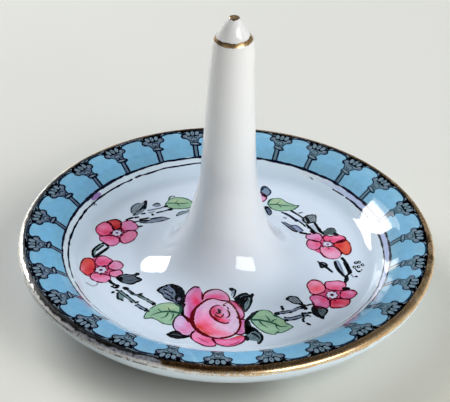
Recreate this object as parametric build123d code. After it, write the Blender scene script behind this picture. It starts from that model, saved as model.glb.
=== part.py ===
from build123d import *
import math
import os

# Ring dish: shallow round porcelain dish on a foot ring, with a hollow tapered post for rings,
# printed and enamelled decoration and gilded edges. Millimetres, +Z up, origin on the table
# under the centre of the post.

# ---- driving dimensions ------------------------------------------------------------------
RIM_Z = 12.0            # height of the rim plane above the table
LIP_R = 46.10           # centre circle of the rounded lip
LIP_DROP = 1.30         # that circle lies this far under the rim plane
LIP_RHO = 1.45          # radius of the rounded lip
BRIM_OUT = 6.0          # degrees, slope of the brim where it runs into the lip
BRIM_IN = 14.0          # degrees, slope of the brim at its inner end
BRIM_R = 41.20          # radius of the brim's inner end
BEND_RHO = 4.0          # rounding between the brim and the bank
BANK = 38.5             # degrees, slope of the bank between the rounding and the well's wall
BANK_R = 37.0           # inner end of the bank
FLOOR_Z = 5.45          # top of the well floor
UNDER_Z = 2.40          # underside of the dish inside and over the foot
JOINT_BORE = 7.90       # radius of the hollow at the joint
SLIP_T = 0.40           # thickness of the slip joint
FOOT_IN, FOOT_OUT = 24.2, 27.6      # radii of the foot ring at the dish
POST_TIP_Z = 66.95      # flat tip of the post
FILM_T = 0.12           # thickness of fired gold, enamel and print
COLUMNS = [-167.5, -153.5, -139.0, -125.2, -110.7, -96.0, -82.2, -68.5, -55.0, -41.2, -28.0, -14.5, -1.5,
           12.8, 26.8, 41.2, 54.3, 68.0, 78.0, 92.0, 106.5, 121.5, 135.0, 149.3, 162.3, 177.4]
                        # degrees of the printed columns from the front; the strip's ends meet at 68-78
PRINT_IN, PRINT_OUT = 37.55, 45.85  # inner and outer radius of the printed border
LINE_IN, LINE_OUT = 36.30, 36.70    # thin printed line on the wall of the well
GOLD_END = 2.0          # degrees above the lip's widest point where the gold stops

os.makedirs("parts", exist_ok=True)

XZ = Plane((0, 0, 0), x_dir=(1, 0, 0), z_dir=(0, -1, 0))   # local x = X, local y = Z


def lathe(*edges):
    """Closed half section, given as edges in (radius, height), turned about +Z."""
    return revolve(XZ * make_face(list(edges)), Axis.Z)


def through(pts, t0, t1):
    return Spline(*pts, tangents=[t0, t1])


def sin_d(deg):
    return math.sin(math.radians(deg))


def cos_d(deg):
    return math.cos(math.radians(deg))


lip_c = (LIP_R, RIM_Z - LIP_DROP)


def lip_pt(deg, rho=LIP_RHO):
    a = math.radians(deg)
    return (lip_c[0] + rho * math.cos(a), lip_c[1] + rho * math.sin(a))


def lip_arc(a0, a1, rho=LIP_RHO):
    return ThreePointArc(lip_pt(a0, rho), lip_pt((a0 + a1) / 2, rho), lip_pt(a1, rho))


def up_from(p, slope, d):
    """Point p moved by d along the normal of a surface that rises outwards at this slope."""
    return (p[0] - d * sin_d(slope), p[1] + d * cos_d(slope))


def crown_arc(c, rho, s0, s1, lift=0.0):
    """Arc over the centre c, from slope s0 to slope s1."""
    return ThreePointArc(*[up_from(c, s, rho + lift) for s in (s0, (s0 + s1) / 2, s1)])


# the border is a nearly flat brim, a rounding and a straight bank that drops into the well
lip_start = lip_pt(90 + BRIM_OUT)
brim_rho = (lip_start[0] - BRIM_R) / (sin_d(BRIM_IN) - sin_d(BRIM_OUT))
brim_c = up_from(lip_start, BRIM_OUT, -brim_rho)
brim_end = up_from(brim_c, BRIM_IN, brim_rho)
bend_c = up_from(brim_end, BRIM_IN, -BEND_RHO)
bank_top = up_from(bend_c, BANK, BEND_RHO)


def bank_pt(r):
    return (r, bank_top[1] - (bank_top[0] - r) * sin_d(BANK) / cos_d(BANK))


bank_end = bank_pt(BANK_R)

# ---- saucer: dish body with the hollow hill under the post -------------------------------------
joint_top = RIM_Z - SLIP_T / 2
FLARE = [(11.11, joint_top), (12.25, 10.12), (13.95, 8.25), (15.9, 6.85), (18.2, 5.92), (21.5, FLOOR_Z)]
WALL = [(32.2, FLOOR_Z), (34.1, 5.87), (35.2, 6.78), (36.1, 7.66), bank_end]
BELLY = [(LIP_R + LIP_RHO, lip_c[1]), (46.2, 7.9), (43.2, 5.75), (39.0, 4.1), (34.0, 2.95), (28.6, UNDER_Z)]
HOLLOW = [(16.9, UNDER_Z), (14.2, 4.2), (11.95, 6.0), (9.95, 8.3), (8.5, 10.4), (JOINT_BORE, joint_top)]

saucer = lathe(
    through(FLARE, (0.5, -0.87), (1, 0)),
    Line(FLARE[-1], WALL[0]),
    through(WALL, (1, 0), (cos_d(BANK), sin_d(BANK))),
    Line(bank_end, bank_top),
    crown_arc(bend_c, BEND_RHO, BANK, BRIM_IN),
    crown_arc(brim_c, brim_rho, BRIM_IN, BRIM_OUT),
    lip_arc(90 + BRIM_OUT, 0),
    through(BELLY, (0, -1), (-1, 0)),
    Line(BELLY[-1], HOLLOW[0]),
    through(HOLLOW, (-0.6, 0.8), (-0.38, 0.92)),
    Line(HOLLOW[-1], FLARE[0]),
)

# ---- foot ring: tapered ring with a rounded bearing edge, meets the dish at UNDER_Z ------------
foot_ring = lathe(
    Line((FOOT_IN, UNDER_Z), (FOOT_OUT, UNDER_Z)),
    Line((FOOT_OUT, UNDER_Z), (FOOT_OUT - 0.45, 0.70)),
    ThreePointArc((FOOT_OUT - 0.45, 0.70), (FOOT_OUT - 0.68, 0.22), (FOOT_OUT - 1.15, 0.0)),
    Line((FOOT_OUT - 1.15, 0.0), (FOOT_IN + 1.15, 0.0)),
    ThreePointArc((FOOT_IN + 1.15, 0.0), (FOOT_IN + 0.62, 0.24), (FOOT_IN + 0.38, 0.75)),
    Line((FOOT_IN + 0.38, 0.75), (FOOT_IN, UNDER_Z)),
)

# ---- slip joint between the hill and the post ------------------------------------------------------
post_base = RIM_Z + SLIP_T / 2
luting_slip = lathe(
    Line((JOINT_BORE, joint_top), (11.11, joint_top)),
    Line((11.11, joint_top), (10.89, post_base)),
    Line((10.89, post_base), (JOINT_BORE - 0.15, post_base)),
    ThreePointArc((JOINT_BORE - 0.15, post_base), (JOINT_BORE - 0.28, RIM_Z), (JOINT_BORE, joint_top)),
)

# ---- ring post: hollow, tapered, with a rounded shoulder and a blunt conical nose ------------------
SHAFT = [(10.89, post_base), (9.85, 14.3), (8.85, 17.1), (7.93, 20.4), (6.86, 25.1), (6.15, 31.7),
         (5.63, 40.1), (5.09, 49.4), (4.58, 58.8), (4.42, 61.0)]
NOSE = [(4.42, 61.0), (4.12, 62.0), (3.38, 63.15), (2.47, 64.75), (1.66, 66.1), (1.10, 66.86)]
BORE = [(JOINT_BORE - 0.15, post_base), (6.85, 15.0), (5.75, 19.0), (4.55, 24.5), (3.60, 32.0),
        (2.95, 41.0), (2.40, 51.0), (2.05, 56.5)]
ring_post = lathe(
    through(SHAFT, (-0.5, 0.87), (-0.065, 1)),
    through(NOSE, (-0.12, 1), (-0.6, 0.8)),
    ThreePointArc((1.10, 66.86), (1.02, 66.925), (0.92, POST_TIP_Z)),
    Line((0.92, POST_TIP_Z), (0, POST_TIP_Z)),
    Line((0, POST_TIP_Z), (0, 58.6)),
    ThreePointArc((0, 58.6), (1.48, 58.0), (2.05, 56.5)),
    through(list(reversed(BORE)), (0.07, -1), (0.42, -0.9)),
    Line((JOINT_BORE - 0.15, post_base), (10.89, post_base)),
)

# ---- gilding ------------------------------------------------------------------------------------------
# the gold starts where the brim runs into the lip arc
a_in = 90 + BRIM_OUT
rim_gilding = lathe(
    lip_arc(a_in, GOLD_END),
    Line(lip_pt(GOLD_END), lip_pt(GOLD_END, LIP_RHO + FILM_T)),
    lip_arc(GOLD_END, a_in, LIP_RHO + FILM_T),
    Line(lip_pt(a_in, LIP_RHO + FILM_T), lip_pt(a_in)),
)

grown_nose = lathe(
    through([(4.42 + FILM_T, 61.0), (4.12 + FILM_T * 0.93, 62.0 + FILM_T * 0.35), (3.38 + FILM_T * 0.88, 63.15 + FILM_T * 0.5),
             (2.45 + FILM_T * 0.88, 64.75 + FILM_T * 0.5)], (-0.12, 1), (-0.48, 0.88)),
    Line((2.45 + FILM_T * 0.88, 64.75 + FILM_T * 0.5), (0, 64.75 + FILM_T * 0.5)),
    Line((0, 64.75 + FILM_T * 0.5), (0, 61.0)),
    Line((0, 61.0), (4.42 + FILM_T, 61.0)),
)
band = Pos(0, 0, 62.45) * Cylinder(6, 0.85) - Pos(0, 0, 62.45) * Cylinder(2.6, 0.85)
shoulder_gilding = (grown_nose & band) - ring_post

tip_gilding = Pos(0, 0, POST_TIP_Z + FILM_T / 2) * Cylinder(0.90, FILM_T)

# ---- decoration: thin skins that lie on the top surface ----------------------------------------------------
skin = (Pos(0, 0, FILM_T) * saucer) - saucer


def ring(r0, r1, z0=3.0, z1=14.0):
    h = z1 - z0
    return Pos(0, 0, z0 + h / 2) * (Cylinder(r1, h) - Cylinder(r0, h))


def prism(pts):
    """Vertical prism over a closed outline in plan."""
    return extrude(Pos(0, 0, 4.0) * make_face(Polyline(*pts, close=True)), 10.0)


def polar(r, deg):
    """deg 0 is the front (-Y), growing towards the right (+X)."""
    a = math.radians(deg - 90)
    return (r * math.cos(a), r * math.sin(a))


# half outline of one panel: (radius, half width as a share of the half pitch)
PANEL = [(37.95, 0.845), (40.0, 0.835), (40.9, 0.76), (41.9, 0.70), (42.7, 0.575), (43.3, 0.53),
         (43.9, 0.60), (44.4, 0.61), (44.85, 0.52), (45.15, 0.34), (45.25, 0.0)]


def border_film(r0, r1, start=0.0, sweep=360.0):
    """Film of thickness FILM_T on bank, rounding and brim from radius r0 to r1, over part of the turn."""
    s1 = math.degrees(math.asin((brim_c[0] - r1) / brim_rho))
    low0, low1 = bank_pt(r0), up_from(brim_c, s1, brim_rho)
    up0, up1 = up_from(low0, BANK, FILM_T), up_from(brim_c, s1, brim_rho + FILM_T)
    face = XZ * make_face([
        Line(low0, bank_top),
        crown_arc(bend_c, BEND_RHO, BANK, BRIM_IN),
        crown_arc(brim_c, brim_rho, BRIM_IN, s1),
        Line(low1, up1),
        crown_arc(brim_c, brim_rho, s1, BRIM_IN, FILM_T),
        crown_arc(bend_c, BEND_RHO, BRIM_IN, BANK, FILM_T),
        Line(up_from(bank_top, BANK, FILM_T), up0),
        Line(up0, low0)])
    return revolve(Rot(0, 0, start - 90) * face, Axis.Z, revolution_arc=sweep)


def panel(mid, half):
    right = [polar(r, mid + s * half) for r, s in PANEL]
    left = [polar(r, mid - s * half) for r, s in PANEL[-2::-1]]
    return prism(right + left)


following = COLUMNS[1:] + [COLUMNS[0] + 360.0]
mids = [(u + v) / 2 for u, v in zip(COLUMNS, following)]
halves = [(v - u) / 2 for u, v in zip(COLUMNS, following)]
border_enamel = []
border_print_main = border_film(PRINT_IN, PRINT_OUT, COLUMNS[5])
for m, h in zip(mids, halves):
    keyhole = panel(m, h)
    border_enamel.extend((border_film(PRINT_IN, PRINT_OUT, m - h - 1, 2 * h + 2) & keyhole).solids())
    border_print_main = border_print_main - keyhole
border_line = skin & ring(LINE_IN, LINE_OUT)

# ---- garland: outlines in plan, X to the right, Y away from the front ---------------------------------


def oval(cx, cy, a, b, rot, n=28, lobes=0, depth=0.0):
    out = []
    for i in range(n):
        t = 2 * math.pi * i / n
        k = 1 + (depth * math.cos(lobes * t) if lobes else 0)
        x, y = a * k * math.cos(t), b * k * math.sin(t)
        c, s = math.cos(math.radians(rot)), math.sin(math.radians(rot))
        out.append((cx + x * c - y * s, cy + x * s + y * c))
    return out


def leaf(cx, cy, length, width, rot):
    n = 9
    up = [(-length / 2 + length * i / n, width / 2 * math.sin(math.pi * (i / n) ** 0.85)) for i in range(n + 1)]
    dn = [(x, -y) for x, y in up[-2:0:-1]]
    c, s = math.cos(math.radians(rot)), math.sin(math.radians(rot))
    return [(cx + x * c - y * s, cy + x * s + y * c) for x, y in up + dn]


def strip(x0, y0, x1, y1, w):
    d = math.hypot(x1 - x0, y1 - y0)
    nx, ny = -(y1 - y0) / d * w / 2, (x1 - x0) / d * w / 2
    return [(x0 + nx, y0 + ny), (x1 + nx, y1 + ny), (x1 - nx, y1 - ny), (x0 - nx, y0 - ny)]


well = skin & ring(14.0, 33.0)


def lay(outlines, minus=None):
    found = []
    for o in outlines:
        s = well & prism(o)
        if minus is not None:
            s = s - minus
        found.extend(s.solids())
    return found


ROSES = [oval(-3.0, -22.7, 7.9, 8.3, 0, 40, 5, 0.05), oval(2.0, 23.4, 7.4, 7.8, 0, 40, 5, 0.05)]
BLOSSOMS = [oval(-26.3, 8.0, 4.8, 4.9, 10, 40, 5, 0.08), oval(-28.4, -6.0, 4.7, 4.9, 40, 40, 5, 0.08),
            oval(23.8, -13.0, 5.0, 4.8, 0, 40, 5, 0.08), oval(24.0, 5.2, 4.9, 4.9, 60, 40, 5, 0.08)]
LEAVES = [leaf(-13.9, -21.8, 7.4, 6.0, 15), leaf(10.2, -23.3, 9.4, 7.0, -15),
          leaf(-12.2, 20.9, 7.0, 4.6, 170), leaf(13.6, 21.6, 7.8, 5.0, -5)]
rose_prisms = Compound([prism(o) for o in ROSES])
blossom_prisms = Compound([prism(o) for o in BLOSSOMS])
leaf_prisms = Compound([prism(o) for o in LEAVES])
rose_enamel = lay(ROSES)
blossom_enamel = lay(BLOSSOMS)
leaf_enamel = lay(LEAVES, rose_prisms)
DARK = [leaf(-11.9, -14.9, 5.8, 3.6, 130), leaf(4.6, -16.2, 4.6, 2.6, 60), leaf(-9.6, -29.0, 3.6, 2.2, 0),
        leaf(6.9, -28.6, 4.6, 3.0, -35), leaf(-22.4, -9.6, 4.4, 2.4, 15), leaf(20.6, -20.0, 3.4, 2.4, -70),
        leaf(-21.6, 18.4, 4.6, 2.4, 70), leaf(-16.9, 14.0, 5.4, 2.0, 30), leaf(19.6, 15.9, 4.0, 2.4, 100),
        leaf(16.0, 12.4, 5.2, 2.0, 130), leaf(25.2, 10.9, 3.6, 2.2, 40),
        strip(-17.4, -19.0, -24.6, -11.2, 0.8), strip(14.6, -21.4, 21.0, -17.8, 0.8),
        strip(-27.6, 2.4, -28.4, -1.6, 0.8), strip(25.0, 0.6, 25.6, -8.2, 0.8),
        strip(-17.0, 18.6, -22.4, 12.2, 0.8), strip(17.4, 19.2, 22.4, 11.2, 0.8)]
dark_minus = Compound([rose_prisms, blossom_prisms, leaf_prisms])
garland_print = lay(DARK, dark_minus)


def solids_of(shape):
    return list(shape) if isinstance(shape, list) else list(shape.solids())


nodes = {
    "saucer": saucer,
    "foot_ring": foot_ring,
    "luting_slip": luting_slip,
    "ring_post": ring_post,
    "rim_gilding": rim_gilding,
    "shoulder_gilding": shoulder_gilding,
    "tip_gilding": tip_gilding,
    "border_print": solids_of(border_print_main) + solids_of(border_line),
    "border_enamel": border_enamel,
    "rose_enamel": rose_enamel,
    "blossom_enamel": blossom_enamel,
    "leaf_enamel": leaf_enamel,
    "garland_print": garland_print,
}
for name, shape in nodes.items():
    found = solids_of(shape)
    out = found[0] if len(found) == 1 else Compound(children=found)
    export_step(out, f"parts/{name}.step")
    print(name, len(found), round(sum(s.volume for s in found), 2))
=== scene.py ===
import math
import bpy
import numpy as np
from mathutils import Matrix, Quaternion, Vector
from mathutils.geometry import delaunay_2d_cdt


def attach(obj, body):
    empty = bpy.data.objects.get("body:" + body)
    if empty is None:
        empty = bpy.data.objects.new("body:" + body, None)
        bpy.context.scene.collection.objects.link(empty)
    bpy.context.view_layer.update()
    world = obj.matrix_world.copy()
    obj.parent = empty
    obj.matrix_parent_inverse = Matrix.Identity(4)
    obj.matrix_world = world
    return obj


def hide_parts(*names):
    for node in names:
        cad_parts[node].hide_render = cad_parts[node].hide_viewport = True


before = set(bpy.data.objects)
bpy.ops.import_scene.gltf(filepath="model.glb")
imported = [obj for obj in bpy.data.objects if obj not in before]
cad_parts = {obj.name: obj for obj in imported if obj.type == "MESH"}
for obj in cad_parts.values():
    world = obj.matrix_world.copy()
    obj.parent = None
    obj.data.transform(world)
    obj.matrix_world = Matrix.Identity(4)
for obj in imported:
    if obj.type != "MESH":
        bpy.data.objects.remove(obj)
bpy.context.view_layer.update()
COL = bpy.context.scene.collection
MM = 0.001

# ============================================================ shape of the dish (mm, +Z up)
RIM_Z, LIP_R, LIP_DROP, LIP_RHO = 12.0, 46.10, 1.30, 1.45
BRIM_OUT, BRIM_IN, BRIM_R, BEND_RHO, BANK, BANK_R = 6.0, 14.0, 41.20, 4.0, 38.5, 37.0
FLOOR_Z, UNDER_Z, JOINT_LOW, JOINT_HIGH = 5.45, 2.40, 11.8, 12.2
LIP_C = np.array([LIP_R, RIM_Z - LIP_DROP])


def unit(v):
    v = np.array(v, float)
    return v / np.hypot(*v)


def spline(pts, n, t0, t1):
    """Cubic spline through 2-D points by chord length, with end directions. Returns points and directions."""
    P = np.array(pts, float)
    h = np.hypot(*np.diff(P, axis=0).T)
    m = len(P)
    A, B = np.zeros((m, m)), np.zeros((m, 2))
    for i in range(1, m - 1):
        A[i, i - 1], A[i, i], A[i, i + 1] = h[i], 2 * (h[i - 1] + h[i]), h[i - 1]
        B[i] = 3 * (h[i] * (P[i] - P[i - 1]) / h[i - 1] + h[i - 1] * (P[i + 1] - P[i]) / h[i])
    A[0, 0], B[0] = 1, unit(t0)
    A[-1, -1], B[-1] = 1, unit(t1)
    T = np.linalg.solve(A, B)
    pos, tan = [], []
    for i in range(m - 1):
        u = np.linspace(0, 1, n + 1)[: n if i < m - 2 else n + 1, None]
        pos.append((2 * u**3 - 3 * u**2 + 1) * P[i] + (u**3 - 2 * u**2 + u) * h[i] * T[i]
                   + (-2 * u**3 + 3 * u**2) * P[i + 1] + (u**3 - u**2) * h[i] * T[i + 1])
        tan.append((6 * u**2 - 6 * u) * P[i] / h[i] + (3 * u**2 - 4 * u + 1) * T[i]
                   + (-6 * u**2 + 6 * u) * P[i + 1] / h[i] + (3 * u**2 - 2 * u) * T[i + 1])
    pos, tan = np.concatenate(pos), np.concatenate(tan)
    return pos, tan / np.hypot(*tan.T)[:, None]


def line(a, b, n):
    a, b = np.array(a, float), np.array(b, float)
    t = np.linspace(0, 1, n)[:, None]
    return a * (1 - t) + b * t, np.repeat(unit(b - a)[None], n, 0)


def arc(c, rho, a0, a1, n):
    """Arc about c from angle a0 to a1 in degrees, measured from +radius towards +Z."""
    a = np.radians(np.linspace(a0, a1, n))
    s = 1 if a1 > a0 else -1
    return np.array(c) + rho * np.stack([np.cos(a), np.sin(a)], -1), s * np.stack([-np.sin(a), np.cos(a)], -1)


def bez(a, b, c, n):
    a, b, c = (np.array(v, float) for v in (a, b, c))
    t = np.linspace(0, 1, n)[:, None]
    d = 2 * (1 - t) * (b - a) + 2 * t * (c - b)
    return (1 - t) ** 2 * a + 2 * t * (1 - t) * b + t**2 * c, d / np.maximum(np.hypot(*d.T)[:, None], 1e-9)


def nrm(slope, d):
    s = math.radians(slope)
    return np.array([-math.sin(s) * d, math.cos(s) * d])


lip_start = LIP_C + LIP_RHO * np.array([math.cos(math.radians(90 + BRIM_OUT)), math.sin(math.radians(90 + BRIM_OUT))])
BRIM_RHO = (lip_start[0] - BRIM_R) / (math.sin(math.radians(BRIM_IN)) - math.sin(math.radians(BRIM_OUT)))
brim_c = lip_start - nrm(BRIM_OUT, BRIM_RHO)
brim_end = brim_c + nrm(BRIM_IN, BRIM_RHO)
bend_c = brim_end - nrm(BRIM_IN, BEND_RHO)
bank_top = bend_c + nrm(BANK, BEND_RHO)
bank_end = np.array([BANK_R, bank_top[1] - (bank_top[0] - BANK_R) * math.tan(math.radians(BANK))])
tb = (math.cos(math.radians(BANK)), math.sin(math.radians(BANK)))

FLARE = spline([(11.11, JOINT_LOW), (12.25, 10.12), (13.95, 8.25), (15.9, 6.85), (18.2, 5.92), (21.5, FLOOR_Z)], 10, (0.5, -0.87), (1, 0))
WALL = spline([(32.2, FLOOR_Z), (34.1, 5.87), (35.2, 6.78), (36.1, 7.66), tuple(bank_end)], 9, (1, 0), tb)
BELLY = spline([(LIP_R + LIP_RHO, LIP_C[1]), (46.2, 7.9), (43.2, 5.75), (39.0, 4.1), (34.0, 2.95), (28.6, UNDER_Z)], 8, (0, -1), (-1, 0))
HOLLOW = spline([(16.9, UNDER_Z), (14.2, 4.2), (11.95, 6.0), (9.95, 8.3), (8.5, 10.4), (7.9, JOINT_LOW)], 5, (-0.6, 0.8), (-0.38, 0.92))
SHAFT = spline([(10.89, JOINT_HIGH), (9.85, 14.3), (8.85, 17.1), (7.93, 20.4), (6.86, 25.1), (6.15, 31.7), (5.63, 40.1),
                (5.09, 49.4), (4.58, 58.8), (4.42, 61.0)], 9, (-0.5, 0.87), (-0.065, 1))
NOSE = spline([(4.42, 61.0), (4.12, 62.0), (3.38, 63.15), (2.47, 64.75), (1.66, 66.1), (1.10, 66.86)], 8, (-0.12, 1), (-0.6, 0.8))
BORE = spline([(7.75, JOINT_HIGH), (6.85, 15.0), (5.75, 19.0), (4.55, 24.5), (3.60, 32.0), (2.95, 41.0), (2.40, 51.0), (2.05, 56.5)], 5, (-0.42, 0.9), (-0.07, 1))
TOP = [FLARE, line(FLARE[0][-1], WALL[0][0], 14), WALL, line(bank_end, bank_top, 10),
       arc(bend_c, BEND_RHO, 90 + BANK, 90 + BRIM_IN, 12), arc(brim_c, BRIM_RHO, 90 + BRIM_IN, 90 + BRIM_OUT, 16),
       arc(LIP_C, LIP_RHO, 90 + BRIM_OUT, 0, 26)]


def top_tables():
    P, T = np.concatenate([p for p, _ in TOP]), np.concatenate([t for _, t in TOP])
    keep = np.r_[True, np.diff(P[:, 0]) > 1e-6]
    return P[keep], T[keep]


_P, _T = top_tables()


def lift(xy, off):
    """Plan points (n, 2) in mm onto the top surface, off mm out along its normal: points and normals."""
    xy = np.asarray(xy, float).reshape(-1, 2)
    r = np.maximum(np.hypot(xy[:, 0], xy[:, 1]), 1e-9)
    z = np.interp(r, _P[:, 0], _P[:, 1])
    nr, nz = -np.interp(r, _P[:, 0], _T[:, 1]), np.interp(r, _P[:, 0], _T[:, 0])
    k = np.hypot(nr, nz)
    nr, nz = nr / k, nz / k
    N = np.stack([nr * xy[:, 0] / r, nr * xy[:, 1] / r, nz], -1)
    return np.concatenate([xy, z[:, None]], 1) + N * np.reshape(off, (-1, 1)), N


def polar(a, r):
    """a in degrees from the front (-Y), growing towards +X."""
    a = np.radians(a)
    return np.stack([r * np.sin(a), -r * np.cos(a)], -1)


def lean(co):
    """The post's shoulder and nose sit a little to the right of its axis."""
    co = np.array(co, float)
    t = np.clip((co[:, 2] - 52.0) / 9.5, 0, 1)
    co[:, 0] += 0.30 * t * t * (3 - 2 * t)
    return co


# ============================================================ mesh helpers
def mesh_object(name, co, faces, material, normals=None, loop_normals=None, colors=None, slot=None, replaces=()):
    """co in mm; normals per vertex or per loop; colors (n, 3) go to the attribute 'paint'."""
    me = bpy.data.meshes.new(name)
    me.from_pydata((np.asarray(co, float) * MM).tolist(), [], faces)
    if colors is not None:
        at = me.color_attributes.new("paint", "FLOAT_COLOR", "POINT")
        c = np.ones((len(me.vertices), 4), np.float32)
        c[:, :3] = colors
        at.data.foreach_set("color", c.ravel())
    me.polygons.foreach_set("use_smooth", [True] * len(me.polygons))
    if loop_normals is not None:
        me.normals_split_custom_set(np.asarray(loop_normals, float).tolist())
    elif normals is not None:
        me.normals_split_custom_set_from_vertices(np.asarray(normals, float).tolist())
    me.materials.append(material)
    ob = bpy.data.objects.new(name, me)
    COL.objects.link(ob)
    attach(ob, "root")
    if replaces:
        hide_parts(*replaces)
    return ob


def lathe(name, chains, material, n=480, shift=None, **kw):
    """Closed half section (a list of (points, directions) runs) turned about +Z, with exact normals.
    The section runs with the solid on its right, so the surface normal is to the left of its direction."""
    P, TA, TB = [], [], []          # point, direction arriving, direction leaving
    for p, t in chains:
        for q, d in zip(p, t):
            if P and np.allclose(P[-1], q, atol=1e-6):
                TB[-1] = d
            else:
                P.append(q), TA.append(d), TB.append(d)
    if np.allclose(P[0], P[-1], atol=1e-6):
        TA[0] = TA[-1]
        P.pop(), TA.pop(), TB.pop()
    P, TA, TB = np.array(P), np.array(TA), np.array(TB)
    m = len(P)
    th = np.arange(n) * 2 * math.pi / n
    c, s = np.cos(th), np.sin(th)
    on_axis = P[:, 0] < 1e-6
    start, co = [], []
    k = 0
    for i in range(m):
        start.append(k)
        if on_axis[i]:
            co.append([[0, 0, P[i, 1]]])
            k += 1
        else:
            co.append(np.stack([P[i, 0] * c, P[i, 0] * s, np.full(n, P[i, 1])], -1))
            k += n
    co = np.concatenate(co)
    if shift:
        co = shift(co)
    # smooth where the arriving and leaving directions agree within 20 degrees, otherwise a crease
    faces, ln = [], []
    for i in range(m):
        j = (i + 1) % m
        if on_axis[i] and on_axis[j]:
            continue
        d = unit(P[j] - P[i])
        smooth_i = np.dot(TA[i], TB[i]) > 0.94
        smooth_j = np.dot(TA[j], TB[j]) > 0.94
        di = unit(TA[i] + TB[i]) if smooth_i else TB[i]
        dj = unit(TA[j] + TB[j]) if smooth_j else TA[j]
        ni, nj = (np.array([-di[1], di[0]]), np.array([-dj[1], dj[0]]))
        Ni = np.stack([ni[0] * c, ni[0] * s, np.full(n, ni[1])], -1)
        Nj = np.stack([nj[0] * c, nj[0] * s, np.full(n, nj[1])], -1)
        for q in range(n):
            w = (q + 1) % n
            a = [(start[i] + (0 if on_axis[i] else q), Ni[q]), (start[j] + (0 if on_axis[j] else q), Nj[q]),
                 (start[j] + (0 if on_axis[j] else w), Nj[w]), (start[i] + (0 if on_axis[i] else w), Ni[w])]
            if on_axis[i]:
                a = a[:3]
            elif on_axis[j]:
                a = [a[0], a[1], a[3]]
            faces.append([v for v, _ in a])
            ln.extend(v for _, v in a)
    return mesh_object(name, co, faces, material, loop_normals=np.array(ln), **kw)


# ============================================================ drawing kit: flat shapes and strokes laid on the glaze
RNG = np.random.default_rng(20411)


def smooth(pts, closed=False, step=0.14):
    """Even points along a smooth curve through pts."""
    P = np.asarray(pts, float)
    n = len(P)
    if closed:
        ext = np.vstack([P[-1], P, P[0], P[1]])
        segs = n
    else:
        ext = np.vstack([2 * P[0] - P[1], P, 2 * P[-1] - P[-2]])
        segs = n - 1
    t = np.linspace(0, 1, 10, endpoint=False)[:, None]
    out = []
    for i in range(segs):
        p0, p1, p2, p3 = ext[i:i + 4]
        out.append(0.5 * (2 * p1 + (p2 - p0) * t + (2 * p0 - 5 * p1 + 4 * p2 - p3) * t**2 + (3 * p1 - p0 - 3 * p2 + p3) * t**3))
    out = np.vstack(out + ([P[:1]] if closed else [P[-1:]]))
    d = np.r_[0, np.cumsum(np.hypot(*np.diff(out, axis=0).T))]
    m = max(3, int(round(d[-1] / step)))
    s = np.linspace(0, d[-1], m + 1)
    q = np.stack([np.interp(s, d, out[:, 0]), np.interp(s, d, out[:, 1])], -1)
    return q[:-1] if closed else q


def inside(pts, poly):
    x, y = pts[:, 0], pts[:, 1]
    res = np.zeros(len(pts), bool)
    x0, y0 = poly[-1]
    for x1, y1 in poly:
        hit = ((y1 > y) != (y0 > y))
        if hit.any():
            cross = (x0 - x1) * (y - y1) / (y0 - y1 if y0 != y1 else 1e-12) + x1
            res ^= hit & (x < cross)
        x0, y0 = x1, y1
    return res


def srgb(r, g, b):
    f = lambda c: c / 255 / 12.92 if c / 255 <= 0.04045 else ((c / 255 + 0.055) / 1.055) ** 2.4
    return np.array((f(r), f(g), f(b)))


def ware(r, g, b):
    """Colour of paint on the dish, given as it looks under the studio light."""
    return np.clip((srgb(r, g, b) - 0.012) * 1.26, 0.004, 0.95)


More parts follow.
